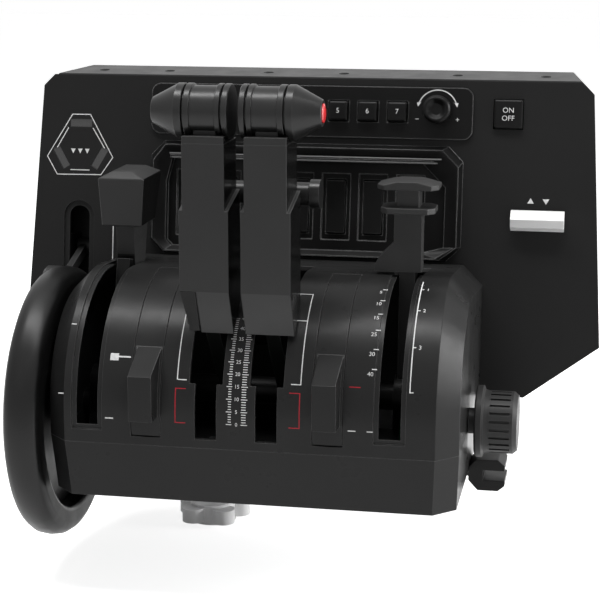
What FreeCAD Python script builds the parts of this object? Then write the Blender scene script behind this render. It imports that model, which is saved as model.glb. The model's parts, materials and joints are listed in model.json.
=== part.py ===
"""Desktop throttle quadrant for flight simulation, a parametric FreeCAD document.

Built in its own frame: X to the user's right, Y away from the user, Z up.
The origin is the centre of the rubber desk pad's underside. Inside the file every
piece is drawn about the lever shaft (Y = 0) or about the leaning panel, and one
placement carries it to the origin of the whole unit. All sizes are millimetres.
"""
import FreeCAD
import Part
import os
import re
import Sketcher

DOC = FreeCAD.newDocument("throttle_quadrant")

# name, value, what it sets. The fit column of every piece reads these.
SIZES = [
    # housing
    ("lever_pitch", 34, "distance between neighbouring lever slots"),
    ("axis_height", 50, "lever shaft above the desk"),
    ("seat_setback", 75, "desk pad centre behind the lever shaft"),
    ("drum_radius", 72, "outer radius of the drum over the levers"),
    ("wall", 2.5, "moulded wall thickness"),
    ("side_left", 110, "left side of the housing"),
    ("side_right", 122, "right side of the housing"),
    ("side_bevel", 12, "bevel between drum and housing sides"),
    ("seam_height", 35, "joint between tub and drum housing"),
    ("pad_thickness", 2, "rubber desk pad"),
    ("pad_half_width", 96, "half the desk pad's width"),
    ("pad_half_depth", 23, "half the desk pad's depth"),
    ("tub_undercut", 6, "how far the tub's front leans in at the bottom"),
    ("side_draft", 1.5, "how far the tub's sides lean in at the bottom"),
    ("tub_rear", 99, "rear face of the tub behind the shaft"),
    ("deck_slope", 6, "fall of the deck behind the drum's crown, degrees"),
    # slots in the drum
    ("slot_width", 12, "throttle slot"),
    ("slot_wide", 18.6, "throttle slot above its step"),
    ("side_slot_width", 12, "speedbrake and flap slots"),
    ("slot_rim_width", 17.4, "bevelled rim of the side slots"),
    ("slot_rim_depth", 1.2, "depth of the bevelled rim"),
    ("slot_low", -8, "lower end of the throttle slots, degrees above level"),
    ("slot_step", 17, "where the throttle slots widen"),
    ("slot_high", 112, "upper end of all slots"),
    ("side_slot_low", -4, "lower end of the side slots"),
    ("side_slot_high", 122, "upper end of the side slots"),
    ("cover_width", 17, "blanking cover strip"),
    ("cover_low", -8, "lower end of the blanking covers"),
    ("cover_high", 88, "upper end of the blanking covers"),
    ("cover_depth", 1.4, "seat of the blanking covers in the drum"),
    ("stud_width", 13.4, "blanking cover's grip block"),
    ("stud_low", 1, "lower face of the grip block"),
    ("stud_high", 33, "upper end of the grip block"),
    ("stud_rise", 11, "how far the grip block stands out of the drum"),
    # shaft and hubs
    ("shaft_radius", 5, "lever shaft"),
    ("run_gap", 0.06, "radial running clearance on shafts"),
    ("free_gap", 0.4, "clearance between parts that move past each other"),
    ("hub_radius", 13, "lever hubs"),
    ("hub_width", 12, "lever hubs along the shaft"),
    ("blade_width", 8, "lever blades through the slots"),
    ("bearing_left", 98, "middle of the left bearing block"),
    ("bearing_right", 99, "middle of the right bearing block"),
    ("bearing_width", 8, "bearing blocks along the shaft"),
    ("spacer_radius", 8, "spacer sleeves between the hubs"),
    # throttle arms
    ("arm_front", 71, "front face of the throttle arms before the shaft"),
    ("arm_back", 41, "back face of the throttle arms before the shaft"),
    ("arm_low_width", 27.4, "throttle arms below the shoulder"),
    ("arm_top_width", 23.4, "throttle arms above the shoulder"),
    ("arm_foot_y", 59, "front of the arm's foot before the shaft"),
    ("arm_foot_z", 47.5, "front of the arm's foot above the shaft"),
    ("arm_knee_z", 73, "knee of the arm above the shaft"),
    ("arm_shoulder_z", 117.5, "shoulder of the arm above the shaft"),
    ("shoulder_slope", 8, "rise of the shoulder towards the back"),
    ("foot_gap", 2.4, "arm's foot above the drum"),
    ("grip_y", 56, "handle before the shaft"),
    ("grip_z", 170.5, "handle above the shaft"),
    ("barrel_radius", 12.8, "plain middle of the handle"),
    ("ring_radius", 15.2, "rings at both ends of the handle"),
    ("nose_radius", 6.6, "small end of the handle's cone"),
    ("button_radius", 5, "button in the handle's cone"),
    ("button_travel", 1.5, "travel of the handle buttons"),
    # reverser levers
    ("reverser_y", 30, "reverser pivot before the shaft"),
    ("reverser_z", 106, "reverser pivot above the shaft"),
    ("reverser_grip_y", 20, "reverser grip before the shaft"),
    ("reverser_grip_z", 120.5, "reverser grip above the shaft"),
    ("reverser_grip_radius", 6.4, "reverser grip"),
    ("reverser_flange_radius", 8.2, "disc on the end of the reverser grip"),
    ("pin_radius", 2, "reverser pivot pins"),
    # speedbrake and flap levers
    ("side_lever_x", 85, "speedbrake and flap slots from the middle"),
    ("brake_stem_width", 11.2, "speedbrake stem"),
    ("brake_stem_front", 13, "front of the speedbrake stem behind the shaft"),
    ("brake_stem_depth", 30, "speedbrake stem front to back"),
    ("brake_knob_z", 94, "underside of the speedbrake knob above the shaft"),
    ("brake_knob_height", 32, "speedbrake knob"),
    ("brake_knob_width", 28, "top of the speedbrake knob"),
    ("brake_knob_depth", 40, "speedbrake knob front to back"),
    ("flap_stem_width", 15.6, "flap stem"),
    ("flap_blade_width", 9, "flap blade through its slot"),
    ("flap_stem_depth", 12, "flap stem front to back"),
    ("flap_plate_z", 108, "underside of the flap handle above the shaft"),
    ("flap_plate_width", 35, "top plate of the flap handle"),
    ("flap_plate_depth", 24, "flap handle front to back"),
    # trim wheel
    ("wheel_axis_height", 38, "trim wheel axle above the desk"),
    ("wheel_radius", 80.5, "trim wheel"),
    ("wheel_width", 22, "trim wheel rim"),
    ("wheel_rim", 17, "depth of the rim"),
    ("wheel_gap", 2, "between the housing and the rim"),
    ("axle_radius", 4, "trim wheel axle"),
    # panel
    ("panel_lean", 8.5, "backward lean in degrees"),
    ("panel_y", 76, "panel face behind the shaft at the panel's zero line"),
    ("panel_z", 120, "panel's zero line above the desk"),
    ("panel_top", 106, "top edge above the zero line"),
    ("panel_left", 159, "left edge near the top"),
    ("panel_right", 185, "right edge near the top"),
    ("panel_flare", 8.5, "how far each side widens downwards"),
    ("panel_waist", 53, "where the sides turn in, below the zero line"),
    ("panel_corner", 7, "cut corners at the top"),
    ("panel_toe_left", 126, "left end of the bottom edge"),
    ("panel_toe_right", 149, "right end of the bottom edge"),
    ("panel_skin", 4, "panel face thickness"),
    ("panel_depth", 36, "panel face to the back of its casing"),
    ("panel_rise", 3, "rise of the casing's top towards the back"),
    ("casing_taper", 14, "how far the casing's back is narrower"),
    # controls on the panel
    ("frame_x", 10, "middle of the switch frame"),
    ("frame_margin", 17.15, "switch frame beyond the end rockers"),
    ("frame_sill", 4, "border of the switch frame at the bottom"),
    ("frame_deck_gap", 1.3, "switch frame above the deck"),
    ("frame_top", 66, "top of the switch frame"),
    ("frame_rise", 5, "how far the switch frame stands out"),
    ("frame_border", 9, "border of the switch frame"),
    ("rocker_pitch", 23.1, "rocker switches"),
    ("rocker_x", 6.4, "middle rocker"),
    ("rocker_z", 27.5, "middle of the rockers"),
    ("rocker_width", 11.6, "rocker"),
    ("rocker_height", 32, "rocker"),
    ("bezel_width", 17.6, "rocker recess"),
    ("bezel_height", 41, "rocker recess"),
    ("rocker_angle", 7, "rocker tilt each way"),
    ("plate_left", 88, "left end of the autopilot plate"),
    ("plate_right", 113, "right end of the autopilot plate"),
    ("plate_low", 70, "bottom of the autopilot plate"),
    ("plate_high", 101.5, "top of the autopilot plate"),
    ("plate_rise", 2, "autopilot plate thickness"),
    ("key_pitch", 18.2, "autopilot keys"),
    ("key_x", 67, "rightmost autopilot key"),
    ("key_z", 86.2, "autopilot keys"),
    ("key_size", 12, "autopilot keys"),
    ("key_rise", 4, "keys above their plate"),
    ("key_travel", 1.2, "keys"),
    ("big_key_x", 134.2, "large key"),
    ("big_key_size", 17.6, "large key"),
    ("dial_x", 91.6, "rotary dial"),
    ("dial_z", 88, "rotary dial"),
    ("dial_radius", 8.5, "rotary dial"),
    ("dial_rise", 11, "rotary dial above its plate"),
    ("selector_x", -67, "mode selector"),
    ("paddle_x", 153.9, "flap switch paddle"),
    ("paddle_z", 22.4, "flap switch paddle"),
    ("paddle_width", 32, "flap switch paddle"),
    ("paddle_height", 12.6, "flap switch paddle"),
    ("paddle_angle", 9, "flap paddle tilt each way"),
    ("gear_x", -134.5, "landing gear lever and lamps"),
    ("gear_lamp_z", 61, "middle of the gear lamps"),
    ("gear_slot_top", 24, "top of the gear slot"),
    ("gear_slot_low", -30, "bottom of the gear slot"),
    ("gear_slot_width", 13, "gear slot"),
    ("gear_rim_width", 19.6, "bevelled rim of the gear slot"),
    ("gear_angle", 50, "gear lever swing"),
    ("gear_arm_length", 48, "gear lever, pivot to wheel"),
    ("gear_wheel_radius", 9, "wheel-shaped gear knob"),
    # tension knob
    ("tension_shaft_radius", 7.4, "tension knob's neck"),
    ("tension_flange_radius", 20.8, "tension knob's flange"),
    ("tension_body_radius", 18, "tension knob's grip"),
    ("tension_flange", 4, "flange thickness"),
    ("tension_length", 26, "knob from housing to end"),
    ("groove_count", 24, "grooves round the tension knob"),
    # desk clamp
    ("clamp_x", -50, "middle of the desk clamp"),
    ("clamp_width", 40, "clamp bracket"),
    ("clamp_spine_y", 46, "front of the clamp's spine behind the shaft"),
    ("clamp_steel", 3.5, "clamp bracket's plate"),
    ("clamp_gap", 23, "desk pad to the jaw"),
    ("clamp_reach", 48, "jaw length"),
    ("clamp_screw_y", 82, "clamp screw behind the shaft"),
    ("clamp_screw_radius", 4, "clamp screw"),
    ("clamp_travel", 15, "clamp screw travel"),
    ("star_radius", 24, "star knob"),
    ("star_height", 13, "star knob"),
]

SHEET = DOC.addObject("Spreadsheet::Sheet", "Sizes")
for row, (alias, value, note) in enumerate(SIZES, start=1):
    SHEET.set("A%d" % row, alias)
    SHEET.set("B%d" % row, str(value))
    SHEET.set("C%d" % row, note)
    SHEET.setAlias("B%d" % row, alias)
DOC.recompute()

ALIASES = {alias for alias, value, note in SIZES}
SHAFT_FRAME = ("-seat_setback", "axis_height", "0")
DESK_FRAME = ("-seat_setback", "0", "0")
PANEL_FRAME = ("panel_y - seat_setback", "panel_z", "panel_lean")
FRAME_HALF = "(rocker_pitch * 3.5 + frame_margin)"
DECK_LINE = "(drum_radius / cos(deck_slope * 1 deg) - panel_y * tan(deck_slope * 1 deg) + axis_height - panel_z)"
FRAME_LOW = "(%s / cos(panel_lean * 1 deg) + frame_deck_gap)" % DECK_LINE
PIECES = []


def sheet_text(text):
    """The same expression with every size's name pointing at the sheet."""
    return re.sub(r"[a-z_]+", lambda m: "Sizes." + m.group() if m.group() in ALIASES else m.group(), str(text))


def number(text):
    """What an expression is worth now."""
    return float(SHEET.evalExpression(sheet_text(text)))


def bind(thing, prop, text):
    thing.setExpression(prop, sheet_text(text))


def locate(thing, frame):
    """Carry a finished piece from its drawing frame to the unit's own frame."""
    y, z, lean = (sheet_text(part) for part in frame)
    thing.setExpression(
        "Placement",
        "placement(vector(0; %s; %s); vector(1; 0; 0); -(%s) * 1 deg)" % (y, z, lean),
    )


def piece(thing, name, frame):
    thing.Label = name
    if frame:
        locate(thing, frame)
    PIECES.append(thing)
    return thing


def new_body(name):
    return DOC.addObject("PartDesign::Body", name)


def sketch(body, plane, corners, offset="0"):
    """A closed outline of lines and arcs whose corners are all bound to the sheet.

    A corner is (x, y), or (x, y, centre_x, centre_y, turn) where an arc leads to the
    next corner, turn being 1 anticlockwise or -1 clockwise.
    """
    drawn = body.newObject("Sketcher::SketchObject", "outline")
    drawn.AttachmentSupport = [(next(o for o in body.Origin.OriginFeatures if o.Role == plane), "")]
    drawn.MapMode = "FlatFace"
    bind(drawn, "AttachmentOffset.Base.z", offset)
    spots = [FreeCAD.Vector(number(c[0]), number(c[1]), 0) for c in corners]
    ends = []
    for i, corner in enumerate(corners):
        start, finish = spots[i], spots[(i + 1) % len(spots)]
        if len(corner) == 2:
            drawn.addGeometry(Part.LineSegment(start, finish))
            ends.append((1, 2))
            continue
        centre = FreeCAD.Vector(number(corner[2]), number(corner[3]), 0)
        circle = Part.Circle(centre, FreeCAD.Vector(0, 0, 1), (start - centre).Length)
        first, last = (start, finish) if corner[4] > 0 else (finish, start)
        drawn.addGeometry(Part.ArcOfCircle(circle, circle.parameter(first), circle.parameter(last)))
        ends.append((1, 2) if corner[4] > 0 else (2, 1))
    for i, corner in enumerate(corners):
        after = (i + 1) % len(corners)
        drawn.addConstraint(Sketcher.Constraint("Coincident", i, ends[i][1], after, ends[after][0]))
        for kind, text, value in (("DistanceX", corner[0], spots[i].x), ("DistanceY", corner[1], spots[i].y)):
            index = drawn.addConstraint(Sketcher.Constraint(kind, -1, 1, i, ends[i][0], value))
            bind(drawn, "Constraints[%d]" % index, text)
        if len(corner) > 2:  # the ends fix the arc's centre along its chord, so only one coordinate is left
            flat = abs(spots[i].x - spots[after].x) > abs(spots[i].y - spots[after].y)
            kind, text = ("DistanceY", corner[3]) if flat else ("DistanceX", corner[2])
            index = drawn.addConstraint(Sketcher.Constraint(kind, -1, 1, i, 3, number(text)))
            bind(drawn, "Constraints[%d]" % index, text)
    return drawn


def prism(name, plane, corners, low, high):
    """An outline pushed straight from low to high along its plane's axis."""
    body = new_body(name)
    if plane == "XZ_Plane":  # this plane faces the user, so its offset runs the other way
        low, high = "-(%s)" % high, "-(%s)" % low
    outline = sketch(body, plane, corners, low)
    pad = body.newObject("PartDesign::Pad", "pad")
    pad.Profile = outline
    bind(pad, "Length", "(%s) - (%s)" % (high, low))
    return body


def box(name, x, y, z):
    corners = [(x[0], y[0]), (x[1], y[0]), (x[1], y[1]), (x[0], y[1])]
    return prism(name, "XY_Plane", corners, z[0], z[1])


def turned(name, plane, axis, corners, shift=("0", "0", "0")):
    """An outline spun about its sketch axis, then moved by shift."""
    body = new_body(name)
    outline = sketch(body, plane, corners)
    spin = body.newObject("PartDesign::Revolution", "spin")
    spin.Profile = outline
    spin.ReferenceAxis = (outline, [axis])
    spin.Angle = 360
    for letter, text in zip("xyz", shift):
        bind(body, "Placement.Base.%s" % letter, text)
    return body


def rod(name, axis, low, high, radius, centre):
    """A plain cylinder; centre holds the two coordinates across its axis, in X, Y, Z order."""
    made = DOC.addObject("Part::Cylinder", name)
    bind(made, "Radius", radius)
    bind(made, "Height", "(%s) - (%s)" % (high, low))
    a, b = centre
    turn = {"X": ((0, 1, 0), 90), "Y": ((1, 0, 0), -90), "Z": ((0, 0, 1), 0)}[axis]
    made.Placement.Rotation = FreeCAD.Rotation(FreeCAD.Vector(*turn[0]), turn[1])
    base = {"X": (low, a, b), "Y": (a, low, b), "Z": (a, b, low)}[axis]
    for letter, text in zip("xyz", base):
        bind(made, "Placement.Base.%s" % letter, text)
    return made


def cut(name, base, tools):
    made = DOC.addObject("Part::Cut", name)
    made.Base = base
    made.Tool = tools[0] if len(tools) == 1 else fuse(name + "_tools", tools)
    return made


def fuse(name, shapes):
    if len(shapes) == 1:
        return group(name, shapes)
    made = DOC.addObject("Part::MultiFuse", name)
    made.Shapes = shapes
    return made


def common(name, first, second):
    made = DOC.addObject("Part::Common", name)
    made.Base = first
    made.Tool = second
    return made


def group(name, shapes):
    """Several like solids that share one node."""
    made = DOC.addObject("Part::Compound", name)
    made.Links = shapes
    return made


def around(centre, half):
    return ("(%s) - (%s)" % (centre, half), "(%s) + (%s)" % (centre, half))


def sector(name, x, width, low, high, inner="0"):
    """A slice of a thick disc about the shaft, from low to high degrees above level."""
    far = "drum_radius * 2"
    middle = "((%s) + (%s)) / 2" % (low, high)
    corners = [("0", "0")]
    for angle in (low, middle, high):
        corners.append(("-(%s) * cos((%s) * 1 deg)" % (far, angle), "(%s) * sin((%s) * 1 deg)" % (far, angle)))
    low_x, high_x = around(x, "(%s) / 2" % width)
    wedge = prism(name + "_wedge", "YZ_Plane", corners, low_x, high_x)
    if inner == "0":
        return wedge
    core = rod(name + "_core", "X", "(%s) - 1" % low_x, "(%s) + 1" % high_x, inner, ("0", "0"))
    return cut(name, wedge, [core])


# ---------------------------------------------------------------- housing


def drum_blank(name, inset):
    """The drum housing's outer form, or its hollow when inset by the wall."""
    radius = "drum_radius - (%s)" % inset
    panel_foot = "panel_y - (panel_z - seam_height) * tan(panel_lean * 1 deg)"
    slope, lean = "deck_slope * 1 deg", "panel_lean * 1 deg"
    reach = "panel_y + (drum_radius / cos(%s) + axis_height - panel_z) * tan(%s)" % (slope, lean)
    crown_back = "(%s) / (1 + tan(%s) * tan(%s))" % (reach, slope, lean)
    floor = "seam_height - axis_height - (%s) * 2" % inset
    spill = "(%s) * 3" % inset  # the hollow runs out through the open back
    back = "%s + (%s)" % (crown_back, spill)
    corners = [
        ("-(%s)" % radius, floor),
        ("-(%s)" % radius, "0", "0", "0", -1),
        ("(%s) * sin(%s)" % (radius, slope), "(%s) * cos(%s)" % (radius, slope)),
        (back, "(%s) / cos(%s) - (%s) * tan(%s)" % (radius, slope, back, slope)),
        ("%s + (%s)" % (panel_foot, spill), floor),
    ]
    body = prism(name, "YZ_Plane", corners, "-side_left + (%s)" % inset, "side_right - (%s)" % inset)
    DOC.recompute()
    pad = body.Tip
    lowest, rearmost = pad.Shape.BoundBox.ZMin, pad.Shape.BoundBox.YMax
    edges = []
    for index, edge in enumerate(pad.Shape.Edges, start=1):
        where = edge.BoundBox
        on_side = where.XLength < 0.001
        at_front_or_top = where.ZMax > lowest + 1 and where.YMin < rearmost / 4
        if on_side and at_front_or_top and where.ZLength + where.YLength > 1:
            edges.append("Edge%d" % index)
    bevel = body.newObject("PartDesign::Chamfer", "bevel")
    bevel.Base = (pad, edges)
    bind(bevel, "Size", "side_bevel")
    return body


def throttle_slots():
    tools = []
    for side in ("-lever_pitch / 2", "lever_pitch / 2"):
        tools.append(sector("slot", side, "slot_width", "slot_low", "slot_high"))
        tools.append(sector("slot_upper", side, "slot_wide", "slot_step", "slot_high"))
    return tools


def side_slots():
    tools = []
    for side in ("-side_lever_x", "side_lever_x"):
        tools.append(sector("side_slot", side, "side_slot_width", "side_slot_low", "side_slot_high"))
        rim_floor = "drum_radius - slot_rim_depth"
        tools.append(sector("slot_rim", side, "slot_rim_width", "side_slot_low - 2", "side_slot_high + 2", rim_floor))
    return tools


def upper_housing():
    seats = []
    for side in ("-lever_pitch * 1.5", "lever_pitch * 1.5"):
        floor = "drum_radius - cover_depth - 0.05"
        seats.append(sector("cover_seat", side, "cover_width", "cover_low", "cover_high", floor))
    axle = rod("axle_hole", "X", "-side_left - 1", "-side_left + 20", "axle_radius + 2 + run_gap",
               ("0", "wheel_axis_height - axis_height"))
    screw = rod("tension_hole", "X", "side_right - 20", "side_right + 1", "tension_shaft_radius + run_gap",
                ("0", "wheel_axis_height - axis_height"))
    shell = cut("drum_shell", drum_blank("drum_outside", "0"), [drum_blank("drum_hollow", "wall")])
    tools = throttle_slots() + side_slots() + seats + [axle, screw]
    piece(cut("upper_housing_solid", shell, tools), "upper_housing", SHAFT_FRAME)


def tub_outline(inset, low):
    """The tub seen from above; low adds the lean of the front and the draft of the sides."""
    left = "-side_left + (%s) + %s * side_draft" % (inset, low)
    right = "side_right - (%s) - %s * side_draft" % (inset, low)
    front = "-drum_radius + (%s) + %s * tub_undercut" % (inset, low)
    rear = "tub_rear - (%s)" % inset
    return [
        ("%s + side_bevel" % left, front),
        ("%s - side_bevel" % right, front),
        (right, "%s + side_bevel" % front),
        (right, rear),
        (left, rear),
        (left, "%s + side_bevel" % front),
    ]


def lofted(name, plane, first, second, first_at, second_at, kind="PartDesign::AdditiveLoft", body=None):
    body = body or new_body(name)
    start = sketch(body, plane, first, first_at)
    end = sketch(body, plane, second, second_at)
    made = body.newObject(kind, "loft")
    made.Profile = start
    made.Sections = [end]
    made.Ruled = True
    return body


def base_tub():
    tub = lofted("tub", "XY_Plane", tub_outline("0", "1"), tub_outline("0", "0"), "pad_thickness", "seam_height")
    DOC.recompute()
    lofted("tub", "XY_Plane", tub_outline("wall", "1"), tub_outline("wall", "0"),
           "pad_thickness + wall", "seam_height", "PartDesign::SubtractiveLoft", tub)
    screws = [rod("flange_hole", "Z", "0", "seam_height - 5", "2.1", (x, "clamp_spine_y - 14"))
              for x in ("clamp_x - 12", "clamp_x + 12")]
    port = box("usb_opening", around("60", "6.2"), ("tub_rear - wall - 1", "tub_rear + 1"), ("14", "22.4"))
    centre = ("0", "wheel_axis_height")
    shaft_holes = [
        rod("axle_room", "X", "-side_left - 1", "-side_left + 8", "axle_radius + 2 + run_gap", centre),
        rod("bush_room", "X", "-side_left + wall", "-side_left + 8", "axle_radius + 4.2", centre),
        rod("tension_room", "X", "side_right - 20", "side_right + 1", "tension_shaft_radius + run_gap", centre),
    ]
    piece(cut("tub_solid", tub, screws + [port] + shaft_holes), "base_tub", DESK_FRAME)


def desk_pad():
    pad = box("pad", around("0", "pad_half_width"), around("seat_setback", "pad_half_depth"),
              ("0", "pad_thickness"))
    piece(pad, "desk_pad", DESK_FRAME)


def blanking_cover(name, x):
    """A strip that closes an unused slot, with the wedge-faced block that holds it."""
    low_x, high_x = around(x, "cover_width / 2 - 0.15")
    strip_ring = sector(name + "_strip", x, "cover_width - 0.3", "cover_low + 0.2", "cover_high - 0.2",
                        "drum_radius - cover_depth")
    skin = rod(name + "_skin", "X", "(%s) - 1" % low_x, "(%s) + 1" % high_x, "drum_radius", ("0", "0"))
    strip = common(name + "_cover", strip_ring, skin)
    front = "-(drum_radius + stud_rise)"
    inner = "drum_radius - 0.6"
    corners = [
        ("-(%s) * cos(stud_low * 1 deg)" % inner, "(%s) * sin(stud_low * 1 deg)" % inner),
        (front, "(drum_radius) * sin(stud_low * 1 deg)"),
        (front, "(drum_radius) * sin(stud_low * 1 deg) + 25.5"),
        ("-(%s) * cos(stud_high * 1 deg)" % inner, "(%s) * sin(stud_high * 1 deg)" % inner),
        ("-(%s) * cos((stud_low + stud_high) / 2 * 1 deg) + 3" % inner,
         "(%s) * sin((stud_low + stud_high) / 2 * 1 deg)" % inner),
    ]
    stud_x = around(x, "stud_width / 2")
    stud = prism(name + "_stud", "YZ_Plane", corners, stud_x[0], stud_x[1])
    keep = rod(name + "_keep", "X", "(%s) - 1" % low_x, "(%s) + 1" % high_x, "drum_radius - 0.6", ("0", "0"))
    block = cut(name + "_block", stud, [keep])
    piece(fuse(name + "_solid", [strip, block]), name, SHAFT_FRAME)


# ---------------------------------------------------------------- shaft, bearings and boards


def shaft_group():
    shaft = rod("shaft_rod", "X", "-bearing_left - bearing_width / 2 - 1", "bearing_right + bearing_width / 2 + 3",
                "shaft_radius", ("0", "0"))
    piece(fuse("shaft_solid", [shaft]), "lever_shaft", SHAFT_FRAME)
    drop = "wheel_axis_height - axis_height"
    floor = "pad_thickness + wall - axis_height"
    blocks = []
    for side, middle in (("left", "-bearing_left"), ("right", "bearing_right")):
        low, high = around(middle, "bearing_width / 2")
        corners = [
            ("-22", floor), ("22", floor), ("22", "%s + 5" % floor), ("shaft_radius + 6", "-16"),
            ("shaft_radius + 6", "0", "0", "0", 1), ("-shaft_radius - 6", "0"),
            ("-shaft_radius - 6", "-16"), ("-22", "%s + 5" % floor),
        ]
        block = prism("bearing_" + side, "YZ_Plane", corners, low, high)
        holes = [rod("shaft_hole", "X", "(%s) - 1" % low, "(%s) + 1" % high, "shaft_radius", ("0", "0"))]
        if side == "left":
            holes.append(rod("axle_hole", "X", "(%s) - 1" % low, "(%s) + 1" % high, "axle_radius + run_gap",
                             ("0", drop)))
        blocks.append(cut("bearing_block_" + side, block, holes))
    bush = rod("bush_outer", "X", "-side_left", "-side_left + 6", "axle_radius + 2", ("0", drop))
    lip = rod("bush_lip", "X", "-side_left + wall", "-side_left + 6", "axle_radius + 4", ("0", drop))
    bore = rod("bush_bore", "X", "-side_left - 1", "-side_left + 8", "axle_radius + run_gap", ("0", drop))
    blocks.append(cut("axle_bush", fuse("bush_body", [bush, lip]), [bore]))
    piece(group("bearing_solids", blocks), "shaft_bearings", SHAFT_FRAME)
    sleeves = []
    edges = ["-bearing_left + bearing_width / 2", "-side_lever_x", "-lever_pitch / 2", "lever_pitch / 2",
             "side_lever_x", "bearing_right - bearing_width / 2"]
    for i in range(5):
        low = edges[0] if i == 0 else "%s + hub_width / 2 + free_gap" % edges[i]
        high = edges[5] if i == 4 else "%s - hub_width / 2 - free_gap" % edges[i + 1]
        tube = rod("sleeve", "X", low, high, "spacer_radius", ("0", "0"))
        sleeve_bore = rod("sleeve_bore", "X", "(%s) - 1" % low, "(%s) + 1" % high, "shaft_radius", ("0", "0"))
        sleeves.append(cut("spacer", tube, [sleeve_bore]))
    outline = [("-14", "%s - 10" % drop), ("14", "%s - 10" % drop), ("14", "12"), ("-14", "12")]
    bearing_end = "bearing_right + bearing_width / 2"
    yoke = prism("yoke", "YZ_Plane", outline, bearing_end, "%s + 2.8" % bearing_end)
    yoke_bore = rod("yoke_bore", "X", "bearing_right", "side_right", "shaft_radius", ("0", "0"))
    sleeves.append(cut("yoke_solid", yoke, [yoke_bore]))
    piece(group("sleeve_solids", sleeves), "friction_stack", SHAFT_FRAME)


def boards():
    floor = "pad_thickness + wall"
    board = box("main_card", ("-70", "70"), ("-52", "-24"), ("%s + 4" % floor, "%s + 5.6" % floor))
    chip = box("main_chip", ("-8", "8"), ("-46", "-34"), ("%s + 5.6" % floor, "%s + 7.4" % floor))
    posts = [rod("post", "Z", floor, "%s + 4" % floor, "3", (x, y))
             for x in ("-64", "64") for y in ("-48", "-28")]
    sensors = [box("sensor", around(x, "5"), ("10", "24"), (floor, "axis_height - hub_radius - 3"))
               for x in ("-side_lever_x", "-lever_pitch / 2", "lever_pitch / 2", "side_lever_x")]
    piece(group("main_board_solids", [fuse("main_card_whole", [board, chip] + posts)] + sensors),
          "main_board", DESK_FRAME)
    socket = box("usb_shell", around("60", "6"), ("tub_rear - 12", "tub_rear"), ("14.2", "22.2"))
    mouth = box("usb_mouth", around("60", "4.4"), ("tub_rear - 8", "tub_rear + 1"), ("16.6", "19.8"))
    ledge = box("usb_ledge", around("60", "6"), ("tub_rear - 12", "tub_rear - wall"), (floor, "14.2"))
    piece(fuse("usb_solid", [cut("usb_hollow", socket, [mouth]), ledge]), "usb_socket", DESK_FRAME)


# ---------------------------------------------------------------- levers


def radial_blade(name, x, width, angle, half, reach):
    """A flat bar from the hub outwards at an angle above level, with its hub and bore."""
    low, high = around(x, "(%s) / 2" % width)
    c, s = "cos((%s) * 1 deg)" % angle, "sin((%s) * 1 deg)" % angle
    corners = []
    for along, across in (("0", "-(%s)" % half), (reach, "-(%s)" % half), (reach, half), ("0", half)):
        corners.append(("-(%s) * %s - (%s) * %s" % (along, c, across, s),
                        "(%s) * %s - (%s) * %s" % (along, s, across, c)))
    bar = prism(name + "_bar", "YZ_Plane", corners, low, high)
    hub_low, hub_high = around(x, "hub_width / 2")
    hub = rod(name + "_hub", "X", hub_low, hub_high, "hub_radius", ("0", "0"))
    bore = rod(name + "_bore", "X", "(%s) - 1" % hub_low, "(%s) + 1" % hub_high, "shaft_radius + run_gap", ("0", "0"))
    return cut(name, fuse(name + "_blank", [hub, bar]), [bore])


def throttle_arm(side, x):
    """One throttle's arm: a wide lower part with a faceted foot, shoulders and a narrower top."""
    name = "throttle_arm_" + side
    foot_radius = "drum_radius + foot_gap"
    back_z = "sqrt((%s) ^ 2 - arm_back ^ 2)" % foot_radius
    front_z = "sqrt((%s) ^ 2 - (arm_foot_y - 6) ^ 2)" % foot_radius
    lower = [
        ("-arm_foot_y", "arm_foot_z"),
        ("-arm_foot_y + 6", front_z, "0", "0", -1),
        ("-arm_back", back_z),
        ("-arm_back", "arm_shoulder_z + shoulder_slope"),
        ("-arm_front", "arm_shoulder_z"),
        ("-arm_front", "arm_knee_z"),
    ]
    upper = [
        ("-arm_back", "arm_shoulder_z - 10"),
        ("-arm_back", "grip_z - ring_radius - 1.5"),
        ("-arm_front", "grip_z - ring_radius - 1.5"),
        ("-arm_front", "arm_shoulder_z - 10"),
    ]
    low_x, high_x = around(x, "arm_low_width / 2")
    top_low, top_high = around(x, "arm_top_width / 2")
    neck = box(name + "_neck", around(x, "6.2"), ("-grip_y - 10", "-grip_y + 10"),
               ("grip_z - ring_radius - 2", "grip_z - 3"))
    pin = rod(name + "_pin", "X", "(%s) - 9" % x, "(%s) + 9" % x, "pin_radius", ("-reverser_y", "reverser_z"))
    lugs = [neck, pin]
    for sign in ("-", "+"):
        lug_low, lug_high = around("(%s) %s 7" % (x, sign), "2")
        corners = [("-arm_back - 1", "reverser_z - 7"), ("-reverser_y", "reverser_z - 4.5", "-reverser_y", "reverser_z", 1),
                   ("-reverser_y", "reverser_z + 4.5"), ("-arm_back - 1", "reverser_z + 7")]
        lugs.append(prism(name + "_lug", "YZ_Plane", corners, lug_low, lug_high))
    body = fuse(name + "_blank", [
        prism(name + "_lower", "YZ_Plane", lower, low_x, high_x),
        prism(name + "_upper", "YZ_Plane", upper, top_low, top_high),
    ] + lugs)
    tools = [rod(name + "_grip_seat", "X", "%s - 1" % top_low, "%s + 1" % top_high, "barrel_radius", ("-grip_y", "grip_z"))]
    if side == "left":  # the pocket behind the left arm's outer corner
        tools.append(box(name + "_pocket", ("(%s) - 1" % low_x, "(%s) + 9" % low_x), ("-arm_front - 1", "-arm_foot_y + 4"),
                         ("arm_foot_z - 2", "arm_knee_z")))
    piece(cut(name + "_solid", body, tools), name, SHAFT_FRAME)


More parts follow.
